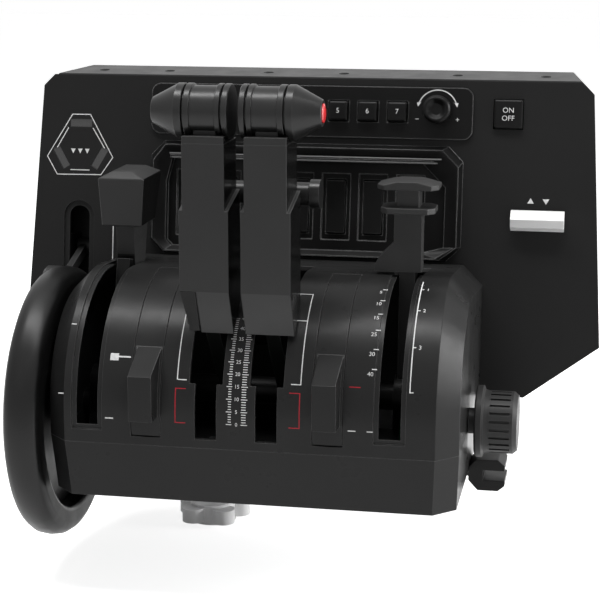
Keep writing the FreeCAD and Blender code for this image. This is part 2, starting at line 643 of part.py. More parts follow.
def throttle_blade(side, x):
    name = "throttle_blade_" + side
    blade = radial_blade(name + "_raw", x, "blade_width", "50", "10", "drum_radius + foot_gap + 0.02")
    rim = rod(name + "_rim", "X", "(%s) - 20" % x, "(%s) + 20" % x, "drum_radius + foot_gap", ("0", "0"))
    piece(common(name + "_solid", blade, rim), name, SHAFT_FRAME)


def throttle_grip(side, x, out):
    """The barrel handle: rings, a plain middle and a cone with its button; out is +1 or -1."""
    name = "throttle_grip_" + side
    steps = [
        ("-13.6", "ring_radius - 0.8"), ("-12.8", "ring_radius"), ("-7.6", "ring_radius"), ("-7", "barrel_radius"),
        ("7.2", "barrel_radius"), ("8.6", "ring_radius"), ("16.6", "ring_radius"), ("28.4", "nose_radius"),
    ]
    corners = [("%s * (%s)" % (out, along), radius) for along, radius in steps]
    corners.append(("%s * 28.4" % out, "button_radius + 0.15"))
    corners.append(("%s * 22" % out, "button_radius + 0.15"))
    corners.append(("%s * 22" % out, "0"))
    corners.append(("%s * -13.6" % out, "0"))
    grip = turned(name + "_form", "XY_Plane", "H_Axis", corners, (x, "-grip_y", "grip_z"))
    piece(fuse(name + "_solid", [grip]), name, SHAFT_FRAME)
    button = turned("button_form_" + side, "XY_Plane", "H_Axis", [
        ("%s * (22 + button_travel + 0.3)" % out, "0"), ("%s * (22 + button_travel + 0.3)" % out, "button_radius"),
        ("%s * 30.6" % out, "button_radius"), ("%s * 31.8" % out, "button_radius - 1.4"), ("%s * 31.8" % out, "0"),
    ], (x, "-grip_y", "grip_z"))
    piece(fuse("grip_button_solid_" + side, [button]), "grip_button_" + side, SHAFT_FRAME)


def reverser(side, x, out):
    name = "reverser_" + side
    link = [
        ("-reverser_y - 4", "reverser_z - 2"), ("-reverser_y + 4", "reverser_z - 3"),
        ("-reverser_grip_y + 4.5", "reverser_grip_z - 2"), ("-reverser_grip_y - 4.5", "reverser_grip_z + 2"),
    ]
    bar = prism(name + "_link", "YZ_Plane", link, "(%s) - 4.6" % x, "(%s) + 4.6" % x)
    eye = rod(name + "_eye", "X", "(%s) - 4.6" % x, "(%s) + 4.6" % x, "4.4", ("-reverser_y", "reverser_z"))
    near = "-(lever_pitch / 2) + 0.8"
    corners = [
        ("%s * (%s)" % (out, near), "0"), ("%s * (%s)" % (out, near), "reverser_grip_radius"),
        ("%s * 15" % out, "reverser_grip_radius"), ("%s * 15.8" % out, "reverser_flange_radius"),
        ("%s * 21.4" % out, "reverser_flange_radius"), ("%s * 21.4" % out, "0"),
    ]
    grip = turned(name + "_grip", "XY_Plane", "H_Axis", corners, (x, "-reverser_grip_y", "reverser_grip_z"))
    bore = rod(name + "_bore", "X", "(%s) - 6" % x, "(%s) + 6" % x, "pin_radius + run_gap", ("-reverser_y", "reverser_z"))
    piece(cut(name + "_solid", fuse(name + "_blank", [bar, eye, grip]), [bore]), name, SHAFT_FRAME)


def speedbrake():
    x = "-side_lever_x"
    back = "brake_stem_front + brake_stem_depth"
    blade = radial_blade("brake_raw", x, "blade_width", "104", "11", "drum_radius + 2")
    stem = prism("brake_stem", "YZ_Plane", [
        ("brake_stem_front + 2", "drum_radius * 0.86"), ("%s - 10" % back, "drum_radius * 0.86"),
        (back, "brake_knob_z"), ("brake_stem_front", "brake_knob_z"), ("brake_stem_front", "drum_radius + 4"),
    ], "-side_lever_x - brake_stem_width / 2", "-side_lever_x + brake_stem_width / 2")
    tang = box("brake_tang", around(x, "brake_stem_width / 2 - 2"), ("brake_stem_front + 5", "%s - 5" % back),
               ("brake_knob_z - 1", "brake_knob_z + 12"))
    piece(fuse("brake_arm_solid", [blade, stem, tang]), "speedbrake_arm", SHAFT_FRAME)
    half = "brake_knob_width / 2"
    low = [("-(%s) + 2" % half, "0"), ("%s - 2" % half, "0"), ("%s - 2" % half, "brake_knob_depth - 9"),
           ("-(%s) + 2" % half, "brake_knob_depth - 9")]
    high = [("-(%s)" % half, "0"), (half, "0"), (half, "brake_knob_depth"), ("-(%s)" % half, "brake_knob_depth")]
    knob = lofted("brake_knob", "XY_Plane", low, high, "brake_knob_z", "brake_knob_z + brake_knob_height - 4")
    cap_low, cap_high = "brake_knob_z + brake_knob_height - 4", "brake_knob_z + brake_knob_height"
    inner = [("-(%s) + 8" % half, "5"), ("%s - 8" % half, "5"), ("%s - 8" % half, "brake_knob_depth - 6"),
             ("-(%s) + 8" % half, "brake_knob_depth - 6")]
    cap = lofted("brake_cap", "XY_Plane", high, inner, cap_low, cap_high)
    for thing in (knob, cap):
        bind(thing, "Placement.Base.x", x)
        bind(thing, "Placement.Base.y", "brake_stem_front - 8")
    whole = cut("brake_knob_solid", fuse("brake_knob_blank", [knob, cap]),
                [box("brake_mortise", around(x, "brake_stem_width / 2 - 2"), ("brake_stem_front + 5", "%s - 5" % back),
                     ("brake_knob_z - 1", "brake_knob_z + 12"))])
    piece(whole, "speedbrake_knob", SHAFT_FRAME)


def flap_lever():
    x = "side_lever_x"
    blade = radial_blade("flap_raw", x, "flap_blade_width", "94", "flap_stem_depth / 2", "drum_radius + 2")
    left, right = around(x, "flap_stem_width / 2")
    outline = [
        (right, "drum_radius + 2"), (right, "flap_plate_z"), (left, "flap_plate_z"), (left, "drum_radius + 19"),
        ("(%s) - 8" % left, "drum_radius + 11"), ("(%s) - 11" % left, "drum_radius + 6"),
        ("(%s) - 11" % left, "drum_radius + 2"),
    ]
    stem = prism("flap_stem", "XZ_Plane", outline, "-1", "flap_stem_depth - 1")
    tang = box("flap_tang", around(x, "3"), ("1", "flap_stem_depth - 3"), ("flap_plate_z - 1", "flap_plate_z + 10"))
    piece(fuse("flap_arm_solid", [blade, stem, tang]), "flap_arm", SHAFT_FRAME)
    front, rear = "-7", "-7 + flap_plate_depth"

    def pill(half):
        low, high = around(x, half)
        return [("%s + 4" % low, front), ("%s - 4" % high, front), (high, "%s + 5" % front), (high, "%s - 5" % rear),
                ("%s - 4" % high, rear), ("%s + 4" % low, rear), (low, "%s - 5" % rear), (low, "%s + 5" % front)]

    half = "flap_plate_width / 2"
    parts = [
        prism("flap_low_plate", "XY_Plane", pill("%s - 2" % half), "flap_plate_z", "flap_plate_z + 3.4"),
        box("flap_waist", around(x, "6.4"), ("-3", "flap_plate_depth - 11"), ("flap_plate_z + 3", "flap_plate_z + 14")),
        prism("flap_top_plate", "XY_Plane", pill(half), "flap_plate_z + 13.6", "flap_plate_z + 16.4"),
        lofted("flap_crown", "XY_Plane", pill(half), pill("%s - 8" % half), "flap_plate_z + 16.4", "flap_plate_z + 18.4"),
    ]
    mortise = box("flap_mortise", around(x, "3"), ("1", "flap_stem_depth - 3"), ("flap_plate_z - 1", "flap_plate_z + 10"))
    piece(cut("flap_handle_solid", fuse("flap_handle_blank", parts), [mortise]), "flap_handle", SHAFT_FRAME)


# ---------------------------------------------------------------- trim wheel and tension knob


def trim_wheel():
    drop = "wheel_axis_height - axis_height"
    inner = "-side_left - wheel_gap"
    outer = "%s - wheel_width" % inner
    rim_floor = "wheel_radius - wheel_rim"
    corners = [
        ("%s - 1.5" % inner, rim_floor), (inner, "%s + 2" % rim_floor), (inner, "wheel_radius - 8"),
        ("%s - 2" % inner, "wheel_radius - 3.4"), ("%s - 6" % inner, "wheel_radius - 0.7"),
        ("%s - wheel_width / 2" % inner, "wheel_radius"), ("%s + 6" % outer, "wheel_radius - 0.7"),
        ("%s + 2" % outer, "wheel_radius - 3.4"), (outer, "wheel_radius - 8"), (outer, "%s + 2" % rim_floor),
        ("%s + 1.5" % outer, rim_floor),
    ]
    rim = turned("rim", "XY_Plane", "H_Axis", corners, ("0", "0", drop))
    piece(fuse("rim_solid", [rim]), "trim_wheel_rim", SHAFT_FRAME)
    web = [
        ("%s + 3" % outer, "0"), ("%s + 3" % outer, "18"), ("%s + 7" % outer, "24"), ("%s + 7" % outer, "%s - 12" % rim_floor),
        ("%s + 4" % outer, "%s - 4" % rim_floor), ("%s + 4" % outer, rim_floor), ("%s + 10" % outer, rim_floor),
        ("%s + 11" % outer, "%s - 10" % rim_floor), ("%s + 11" % outer, "14"), (inner, "12"), (inner, "axle_radius"),
        ("-bearing_left + bearing_width / 2 + 1", "axle_radius"), ("-bearing_left + bearing_width / 2 + 1", "0"),
    ]
    hub = turned("web", "XY_Plane", "H_Axis", web, ("0", "0", drop))
    piece(fuse("web_solid", [hub]), "trim_wheel_hub", SHAFT_FRAME)


def tension_knob():
    """The grooved friction knob on its screw, drawn along X from the housing's right side."""
    body = new_body("tension")
    start, flange = "side_right + 4", "side_right + 4 + tension_flange"
    end = "side_right + 4 + tension_length - 2"
    outline = sketch(body, "XY_Plane", [
        ("bearing_right + bearing_width / 2 + 3.1", "0"), ("bearing_right + bearing_width / 2 + 3.1", "3"),
        ("side_right - 8", "3"), ("side_right - 8", "tension_shaft_radius"), (start, "tension_shaft_radius"),
        (start, "tension_flange_radius - 1"), ("%s + 1" % start, "tension_flange_radius"),
        (flange, "tension_flange_radius"), ("%s + 1" % flange, "tension_body_radius + 0.6"),
        ("%s + 3" % flange, "tension_body_radius"), ("%s - 2.4" % end, "tension_body_radius"),
        (end, "tension_body_radius - 2"), (end, "0"),
    ])
    spin = body.newObject("PartDesign::Revolution", "spin")
    spin.Profile = outline
    spin.ReferenceAxis = (outline, ["H_Axis"])
    spin.Angle = 360
    groove = sketch(body, "YZ_Plane", [
        ("-0.9", "tension_body_radius - 1"), ("0.9", "tension_body_radius - 1"), ("0.9", "tension_body_radius + 2"),
        ("-0.9", "tension_body_radius + 2"),
    ], "%s + 4.4" % flange)
    flute = body.newObject("PartDesign::Pocket", "flute")
    flute.Profile = groove
    flute.Reversed = True
    bind(flute, "Length", "(%s - 4) - (%s + 4.4)" % (end, flange))
    round_about = body.newObject("PartDesign::PolarPattern", "flutes")
    round_about.Originals = [flute]
    round_about.Axis = (next(o for o in body.Origin.OriginFeatures if o.Role == "X_Axis"), [""])
    round_about.Angle = 360
    bind(round_about, "Occurrences", "groove_count")
    body.Tip = round_about
    bind(body, "Placement.Base.z", "wheel_axis_height - axis_height")
    piece(fuse("tension_solid", [body]), "tension_knob", SHAFT_FRAME)


# ---------------------------------------------------------------- panel


def panel_outline(inset, depth, foot_depth=None):
    """The panel's outline, narrower and rising behind; depth runs from 0 at the face."""
    foot_level = "(%s) * tan(panel_lean * 1 deg)" % (foot_depth or depth)
    level = "(%s) * tan(panel_lean * 1 deg)" % depth
    share = "(%s) / panel_depth" % depth
    taper = "casing_taper * %s + (%s)" % (share, inset)
    top = "panel_top + %s + panel_rise * %s - (%s)" % (level, share, inset)
    foot = "(seam_height - panel_z) / cos(panel_lean * 1 deg) + %s + (%s)" % (foot_level, inset)
    left, right = "-panel_left + %s" % taper, "panel_right - (%s) * 0.5 - (%s)" % ("casing_taper * " + share, inset)
    return [
        ("%s + panel_corner" % left, top), ("%s - panel_corner" % right, top), (right, "%s - panel_corner" % top),
        ("%s + panel_flare" % right, "-panel_waist"), ("panel_toe_right - (%s)" % taper, foot),
        ("-panel_toe_left + %s" % taper, foot), ("%s - panel_flare" % left, "-panel_waist"),
        (left, "%s - panel_corner" % top),
    ]


def wheel_room(extra):
    """The space round the trim wheel, as a cylinder in the panel's leaning frame."""
    c, s = "cos(panel_lean * 1 deg)", "sin(panel_lean * 1 deg)"
    down = "(wheel_axis_height - panel_z)"
    low = "-side_left - wheel_gap * 2 - wheel_width - (%s)" % extra
    high = "-side_left + wheel_gap + (%s)" % extra
    centre = ("-panel_y * %s - %s * %s" % (c, down, s), "-panel_y * %s + %s * %s" % (s, down, c))
    return rod("wheel_room", "X", low, high, "wheel_radius + 3 + (%s)" % extra, centre)


def stadium(name, x, half, low, high, near, far):
    corners = [
        ("(%s) + (%s)" % (x, half), low), ("(%s) + (%s)" % (x, half), high, x, high, 1),
        ("(%s) - (%s)" % (x, half), high), ("(%s) - (%s)" % (x, half), low, x, low, 1),
    ]
    return prism(name, "XZ_Plane", corners, near, far)


def lamp_windows(near, far, shrink):
    """Three lamp windows on the sides of a triangle."""
    windows = []
    for turn in (0, 120, 240):
        window = box("lamp_window", around("0", "7.2 - (%s)" % shrink), (near, far),
                     ("12 + (%s)" % shrink, "17 - (%s)" % shrink))
        angle = FreeCAD.Rotation(FreeCAD.Vector(0, 1, 0), turn)
        window.Placement.Rotation = angle
        bind(window, "Placement.Base.x", "gear_x")
        bind(window, "Placement.Base.z", "gear_lamp_z")
        windows.append(window)
    return windows


def rocker_xs():
    return ["rocker_x + (%d) * rocker_pitch" % (i - 3) for i in range(7)]


def key_xs():
    return ["key_x - %d * key_pitch" % (6 - i) for i in range(7)]


def panel_face():
    face = prism("face", "XZ_Plane", panel_outline("0", "0", "panel_skin"), "0", "panel_skin")
    tools = lamp_windows("-1", "panel_skin + 1", "0")
    tools.append(wheel_room("0"))
    tools.append(stadium("gear_slot", "gear_x", "gear_slot_width / 2", "gear_slot_low + 7", "gear_slot_top - 7",
                         "-1", "panel_skin + 1"))
    tools.append(stadium("gear_rim", "gear_x", "gear_rim_width / 2", "gear_slot_low + 7", "gear_slot_top - 7",
                         "-1", "1.4"))
    tools.append(box("switch_window", around("frame_x", FRAME_HALF + " - frame_border"), ("-1", "panel_skin + 1"),
                     (FRAME_LOW + " + frame_sill", "frame_top - frame_border")))
    for x in key_xs():
        tools.append(box("key_hole", around(x, "key_size / 2 - 2"), ("-1", "panel_skin + 1"), around("key_z", "key_size / 2 - 2")))
    for x, z in (("dial_x", "dial_z"), ("selector_x", "key_z")):
        tools.append(rod("dial_hole", "Y", "-1", "panel_skin + 1", "4", (x, z)))
    tools.append(box("big_key_hole", around("big_key_x", "big_key_size / 2 + free_gap"), ("-1", "panel_skin + 1"),
                     around("key_z", "big_key_size / 2 + free_gap")))
    tools.append(box("paddle_hole", around("paddle_x", "paddle_width / 2 - 2"), ("-1", "panel_skin + 1"),
                     around("paddle_z", "paddle_height / 2 - 1")))
    tools.append(box("cable_window", ("-30", "30"), ("-1", "panel_skin + 1"), ("-60", "-40")))
    piece(cut("face_solid", face, tools), "panel_face", PANEL_FRAME)


def casing_top(depth):
    return "panel_top + (%s) * tan(panel_lean * 1 deg) + panel_rise * (%s) / panel_depth" % (depth, depth)


SCREW_XS = ("-125", "-82", "-18", "30", "101", "155")


def panel_rear():
    """The casing behind the panel, with a pocket for the wheel and a boss for every screw."""
    outside = lofted("casing", "XZ_Plane", panel_outline("0", "panel_skin"), panel_outline("0", "panel_depth"),
                     "-panel_skin", "-panel_depth")
    inside = lofted("casing_inside", "XZ_Plane", panel_outline("wall", "panel_skin"),
                    panel_outline("wall", "panel_depth - wall"), "-panel_skin", "-panel_depth + wall")
    shell = cut("casing_shell", outside, [cut("casing_hollow", inside, [wheel_room("wall")]), wheel_room("0")])
    depth, holes, bosses = "panel_depth / 2", [], []
    top = casing_top(depth)
    for x in SCREW_XS:
        low_x, high_x = around(x, "4.6")
        bosses.append(box("boss", (low_x, high_x), around(depth, "4.6"), ("%s - 7" % top, "%s - 1" % top)))
        holes.append(rod("screw_seat", "Z", "%s - 3.6" % top, "%s + 3" % top, "3.3", (x, depth)))
    holes.append(box("lower_window", ("-40", "40"), ("panel_depth - 26", "panel_depth - 10"), ("-90", "-60")))
    piece(cut("casing_solid", fuse("casing_whole", [shell] + bosses), holes), "panel_rear", PANEL_FRAME)


def switch_frame():
    """The raised, bevelled frame round the seven rockers and its recessed plate."""
    low, high = FRAME_LOW, "frame_top"

    def ring(inset):
        left, right = around("frame_x", FRAME_HALF + " - (%s)" % inset)
        corner = "9 - (%s) * 0.5" % inset
        bottom, top = "%s + (%s) * frame_sill / frame_border" % (low, inset), "%s - (%s)" % (high, inset)
        return [("%s + %s" % (left, corner), bottom), ("%s - %s" % (right, corner), bottom),
                (right, "%s + %s" % (bottom, corner)), (right, "%s - %s" % (top, corner)),
                ("%s - %s" % (right, corner), top), ("%s + %s" % (left, corner), top),
                (left, "%s - %s" % (top, corner)), (left, "%s + %s" % (bottom, corner))]

    skirt = lofted("frame_out", "XZ_Plane", ring("0"), ring("2.5"), "0", "frame_rise")
    liner = prism("frame_liner", "XZ_Plane", ring("frame_border + 0.15"), "-0.5", "9")
    hollow = lofted("frame_in", "XZ_Plane", ring("frame_border + 1.6"), ring("4"), "1.5", "frame_rise + 0.1")
    well = prism("frame_well", "XZ_Plane", ring("frame_border + 1.6"), "-1.6", "3")
    frame = cut("frame_blank", fuse("frame_whole", [skirt, liner]), [hollow, well])
    tools = []
    for x in rocker_xs():
        tools.append(box("bezel", around(x, "bezel_width / 2"), ("2", "5"), around("rocker_z", "bezel_height / 2")))
        tools.append(box("rocker_hole", around(x, "rocker_width / 2 + free_gap"), ("2", "10"),
                         around("rocker_z", "rocker_height / 2 + free_gap + 0.5")))
    piece(cut("frame_solid", frame, tools), "switch_frame", PANEL_FRAME)


def rockers():
    """Seven rocker switches, each rolling about a pin behind the recessed plate."""
    half = "rocker_height / 2"
    for i, x in enumerate(rocker_xs(), start=1):
        outline = [
            ("2.6", "-(%s)" % half), ("9.6", "-(%s) + 3" % half), ("9.6", "%s - 3" % half), ("2.6", half),
            ("4.4", "0"),
        ]
        low, high = around(x, "rocker_width / 2")
        rocker = prism("rocker_body_%d" % i, "YZ_Plane", outline, low, high)
        bind(rocker, "Placement.Base.z", "rocker_z")
        pin = rod("rocker_pin", "X", "(%s) - 1.6" % low, "(%s) + 1.6" % high, "1.2", ("11", "rocker_z"))
        keel = box("rocker_keel", (low, high), ("9.4", "12.4"), around("rocker_z", "4"))
        piece(fuse("rocker_solid_%d" % i, [rocker, keel, pin]), "rocker_%d" % i, PANEL_FRAME)


def autopilot_plate():
    left, right, low, high, r = "-plate_left", "plate_right", "plate_low", "plate_high", "6"
    corners = [
        ("%s + %s" % (left, r), low), ("%s - %s" % (right, r), low, "%s - %s" % (right, r), "%s + %s" % (low, r), 1),
        (right, "%s + %s" % (low, r)), (right, "%s - %s" % (high, r), "%s - %s" % (right, r), "%s - %s" % (high, r), 1),
        ("%s - %s" % (right, r), high), ("%s + %s" % (left, r), high, "%s + %s" % (left, r), "%s - %s" % (high, r), 1),
        (left, "%s - %s" % (high, r)), (left, "%s + %s" % (low, r), "%s + %s" % (left, r), "%s + %s" % (low, r), 1),
    ]
    plate = prism("plate", "XZ_Plane", corners, "-plate_rise", "0")
    tools = [box("key_hole", around(x, "key_size / 2 + 0.3"), ("-plate_rise - 1", "1"), around("key_z", "key_size / 2 + 0.3"))
             for x in key_xs()]
    for x, z in (("dial_x", "dial_z"), ("selector_x", "key_z")):
        tools.append(rod("dial_hole", "Y", "-plate_rise - 1", "1", "3.2", (x, z)))
    piece(cut("plate_solid", plate, tools), "autopilot_plate", PANEL_FRAME)


def key(name, x, z, size, rise, back):
    """A square cap with a bevelled top on a narrower stem that runs through the panel."""

    def square(half):
        a, b = around(x, half)
        c, d = around(z, half)
        return [(a, c), (b, c), (b, d), (a, d)]

    cap = prism(name + "_cap", "XZ_Plane", square("(%s) / 2" % size), "-(%s) + 1" % rise, back)
    top = lofted(name + "_top", "XZ_Plane", square("(%s) / 2" % size), square("(%s) / 2 - 1" % size),
                 "%s - 1" % rise, rise)
    stem = box(name + "_stem", around(x, "(%s) / 2 - 2.4" % size), ("-key_travel - 0.5", "panel_skin + 3"),
               around(z, "(%s) / 2 - 2.4" % size))
    piece(fuse(name + "_solid", [cap, top, stem]), name, PANEL_FRAME)


def keys():
    for i, x in enumerate(key_xs(), start=1):
        key("autopilot_key_%d" % i, x, "key_z", "key_size", "key_rise + plate_rise", "-key_travel - 0.3")
    key("large_key", "big_key_x", "key_z", "big_key_size", "key_rise - 1", "1.5")


def dials():
    top = "-plate_rise - dial_rise"
    dish = [
        ("0", "-plate_rise - 0.4"), ("dial_radius", "-plate_rise - 0.4"), ("dial_radius", "%s + 1.4" % top),
        ("dial_radius - 1.4", top), ("dial_radius - 2.4", top), ("dial_radius - 5", "%s + 2.2" % top), ("0", "%s + 2.2" % top),
    ]
    for name, x, z in (("encoder_dial", "dial_x", "dial_z"), ("mode_selector", "selector_x", "key_z")):
        knob = turned(name + "_knob", "XY_Plane", "V_Axis", dish, (x, "0", z))
        stem = rod(name + "_stem", "Y", "-plate_rise - 0.6", "panel_skin + 11.9", "3", (x, z))
        piece(fuse(name + "_solid", [knob, stem]), name, PANEL_FRAME)


def flap_paddle():
    half = "paddle_height / 2"
    outline = [
        ("-1.8", "-(%s)" % half), ("-8", "-(%s) + 2.2" % half), ("-9.6", "0.6"), ("-6.4", "%s - 0.6" % half), ("-1.8", half),
    ]
    low, high = around("paddle_x", "paddle_width / 2")
    body = prism("paddle_body", "YZ_Plane", outline, low, high)
    stem_low, stem_high = around("paddle_x", "paddle_width / 2 - 4")
    stem = prism("paddle_stem", "YZ_Plane", [("-2", "-2.6"), ("panel_skin + 5", "-2.6"), ("panel_skin + 5", "2.6"), ("-2", "2.6")],
                 stem_low, stem_high)
    for thing in (body, stem):
        bind(thing, "Placement.Base.z", "paddle_z")
    pin = rod("paddle_pin", "X", "(%s) - 0.6" % low, "(%s) + 0.6" % high, "1.4", ("panel_skin + 3", "paddle_z"))
    piece(fuse("paddle_solid", [body, stem, pin]), "flap_paddle", PANEL_FRAME)


def gear_pivot():
    return "panel_skin + 20", "(gear_slot_top + gear_slot_low) / 2"


def gear_lever():
    """The landing gear lever, pivoting behind the panel, with its wheel-shaped knob down."""
    pivot_y, pivot_z = gear_pivot()
    c, s = "cos(gear_angle / 2 * 1 deg)", "sin(gear_angle / 2 * 1 deg)"
    corners = []
    for along, across in (("-4", "-3.4"), ("gear_arm_length", "-3"), ("gear_arm_length", "3"), ("-4", "3.4")):
        corners.append(("%s - (%s) * %s - (%s) * %s" % (pivot_y, along, c, across, s),
                        "%s - (%s) * %s + (%s) * %s" % (pivot_z, along, s, across, c)))
    arm = prism("gear_arm_bar", "YZ_Plane", corners, "gear_x - 5", "gear_x - 1")
    boss = rod("gear_boss", "X", "gear_x - 7", "gear_x + 5", "5", (pivot_y, pivot_z))
    tip = ("%s - gear_arm_length * %s" % (pivot_y, c), "%s - gear_arm_length * %s" % (pivot_z, s))
    wheel = turned("gear_wheel", "XY_Plane", "H_Axis", [
        ("-12", "0"), ("-12", "gear_wheel_radius - 2"), ("-10", "gear_wheel_radius"), ("-2", "gear_wheel_radius"),
        ("0", "gear_wheel_radius - 2"), ("0", "0"),
    ], ("gear_x - 3", tip[0], tip[1]))
    bore = rod("gear_bore", "X", "gear_x - 8", "gear_x + 6", "2 + run_gap", (pivot_y, pivot_z))
    piece(cut("gear_solid", fuse("gear_blank", [arm, boss, wheel]), [bore]), "gear_lever", PANEL_FRAME)


def lamps_and_boards():
    lenses = lamp_windows("0.8", "panel_skin + 0.5", "0.15")
    backing = rod("lens_backing", "Y", "panel_skin", "panel_skin + 1.5", "21", ("gear_x", "gear_lamp_z"))
    piece(fuse("lens_solid", lenses + [backing]), "gear_lamps", PANEL_FRAME)
    card = box("panel_card", ("-108", "146"), ("panel_skin + 12", "panel_skin + 13.6"), ("68", "98"))
    switches = [box("tact", around(x, "3"), ("panel_skin + key_travel + 3.1", "panel_skin + 12"), around("key_z", "3"))
                for x in key_xs() + ["big_key_x"]]
    cards = fuse("panel_card_solid", [card] + switches)
    studs = [rod("card_stud", "Y", "panel_skin", "panel_skin + 12", "2.6", (x, "94")) for x in ("-100", "112")]
    piece(fuse("panel_board_solid", [cards] + studs), "panel_board", PANEL_FRAME)


def panel_brackets():
    """What the rockers, the flap paddle and the gear lever turn on, all behind the panel."""
    rail = box("switch_rail_plate", around("frame_x", FRAME_HALF + " - frame_border - 4"), ("13", "16"), around("rocker_z", "12"))
    cheeks = []
    for i in range(8):
        x = "rocker_x + (%d) * rocker_pitch - rocker_pitch / 2" % (i - 3)
        cheeks.append(box("rail_cheek", around(x, "rocker_pitch / 2 - rocker_width / 2 - 0.5"), ("9", "13.2"),
                          around("rocker_z", "5")))
    bore = rod("rail_bore", "X", "frame_x - " + FRAME_HALF, "frame_x + " + FRAME_HALF, "1.2 + run_gap", ("11", "rocker_z"))
    solids = [cut("rail", fuse("rail_whole", [rail] + cheeks), [bore])]
    for side in ("-", "+"):
        low, high = around("paddle_x %s (paddle_width / 2 - 1)" % side, "1.8")
        cheek = box("paddle_cheek", (low, high), ("panel_skin", "panel_skin + 6"), around("paddle_z", "5"))
        hole = rod("paddle_bore", "X", "(%s) - 1" % low, "(%s) + 1" % high, "1.4 + run_gap", ("panel_skin + 3", "paddle_z"))
        solids.append(cut("paddle_bracket", cheek, [hole]))
    pivot_y, pivot_z = gear_pivot()
    pin = rod("gear_pin_rod", "X", "gear_x - 12", "gear_x + 12", "2", (pivot_y, pivot_z))
    ears = []
    for side in ("gear_x - 10", "gear_x + 8"):
        ears.append(box("gear_ear", around(side, "2"), ("panel_skin", "%s + 6" % pivot_y), around(pivot_z, "8")))
    solids.append(fuse("gear_bracket", ears + [pin]))
    piece(group("bracket_solids", solids), "panel_brackets", PANEL_FRAME)


def screws():
    """Six screws that close the panel casing from above, and the two bolts of the clamp."""
    depth, closing = "panel_depth / 2", []
    top = casing_top(depth)
    for x in SCREW_XS:
        closing.append(rod("screw_head", "Z", "%s - 3.6" % top, "%s - 1.8" % top, "3", (x, depth)))
    upper = group("closing_screws", closing)
    locate(upper, PANEL_FRAME)
    floor, pairs = "pad_thickness + wall", []
    for x in ("clamp_x - 12", "clamp_x + 12"):
        pairs.append(rod("bolt", "Z", "0", "%s + 5" % floor, "2", (x, "clamp_spine_y - 14")))
    lower = group("clamp_bolts", pairs)
    locate(lower, DESK_FRAME)
    piece(group("screw_solids", [upper, lower]), "screws", None)


# ---------------------------------------------------------------- desk clamp and clip


def clamp():
    low, high = around("clamp_x", "clamp_width / 2")
    back = "clamp_spine_y + clamp_steel"
    corners = [
        ("clamp_spine_y - 26", "0"), ("clamp_spine_y", "0"), ("clamp_spine_y", "-clamp_gap - clamp_steel"),
        ("clamp_spine_y + clamp_reach", "-clamp_gap - clamp_steel"), ("clamp_spine_y + clamp_reach", "-clamp_gap"),
        (back, "-clamp_gap"), (back, "pad_thickness"), ("clamp_spine_y - 26", "pad_thickness"),
    ]
    frame = prism("clamp_frame", "YZ_Plane", corners, low, high)
    nut = rod("clamp_nut", "Z", "-clamp_gap - clamp_steel - 5", "-clamp_gap - 1", "8", ("clamp_x", "clamp_screw_y"))
    holes = [rod("screw_hole", "Z", "-clamp_gap - 20", "-clamp_gap + 2", "clamp_screw_radius + run_gap",
                 ("clamp_x", "clamp_screw_y"))]
    holes += [rod("flange_hole", "Z", "-1", "pad_thickness + 1", "2.1", (x, "clamp_spine_y - 14"))
              for x in ("clamp_x - 12", "clamp_x + 12")]
    piece(cut("clamp_frame_solid", fuse("clamp_blank", [frame, nut]), holes), "clamp_bracket", DESK_FRAME)
    tip = "-clamp_gap + 3"
    knob_top = "-clamp_gap - clamp_steel - 5 - clamp_travel - 1"
    screw = rod("screw_thread", "Z", "%s - star_height + 2" % knob_top, tip, "clamp_screw_radius", ("clamp_x", "clamp_screw_y"))
    piece(fuse("screw_rod_solid", [screw]), "clamp_screw", DESK_FRAME)
    disc = turned("pad_disc", "XZ_Plane", "V_Axis", [
        ("0", tip), ("4.4", tip), ("5", "%s - 2" % tip), ("8", "%s - 2" % tip), ("11", "%s + 1" % tip), ("11", "%s + 4" % tip),
        ("0", "%s + 4" % tip),
    ], ("clamp_x", "clamp_screw_y", "0"))
    collar_cut = rod("pad_socket", "Z", "%s - 3" % tip, tip, "clamp_screw_radius + run_gap", ("clamp_x", "clamp_screw_y"))
    piece(cut("pad_disc_solid", disc, [collar_cut]), "clamp_pad", DESK_FRAME)
    lobes = [rod("star_core", "Z", "%s - star_height" % knob_top, knob_top, "star_radius * 0.62", ("clamp_x", "clamp_screw_y"))]
    for i in range(5):
        angle = "(%d + 18) * 1 deg" % (72 * i)
        where = ("clamp_x + star_radius * 0.7 * cos(%s)" % angle, "clamp_screw_y + star_radius * 0.7 * sin(%s)" % angle)
        lobes.append(rod("star_lobe", "Z", "%s - star_height + 2.4" % knob_top, "%s - 1.6" % knob_top,
                         "star_radius * 0.3", where))
    bore = rod("star_bore", "Z", "%s - star_height + 2" % knob_top, "%s + 1" % knob_top, "clamp_screw_radius",
               ("clamp_x", "clamp_screw_y"))
    piece(cut("star_solid", fuse("star_blank", lobes), [bore]), "star_knob", DESK_FRAME)


def cable_clip():
    """A small hook on the tub's right side that a lead is tucked into."""
    outline = [
        ("side_right - side_draft", "4"), ("side_right + 3", "9"), ("side_right + 16", "9"), ("side_right + 20", "5.6"),
        ("side_right + 20", "2.5"), ("side_right + 7", "2.5"), ("side_right + 7", "-3.5"), ("side_right + 20", "-3.5"),
        ("side_right + 20", "-6.6"), ("side_right + 16", "-10"), ("side_right + 4", "-10"), ("side_right - side_draft", "-4"),
    ]
    clip = prism("clip", "XZ_Plane", outline, "18", "42")
    stem = box("clip_foot", ("side_right - 14", "side_right - side_draft + 0.5"), ("20", "40"), ("-2", "pad_thickness"))
    piece(fuse("clip_solid", [clip, stem]), "cable_clip", DESK_FRAME)


# ---------------------------------------------------------------- assembly

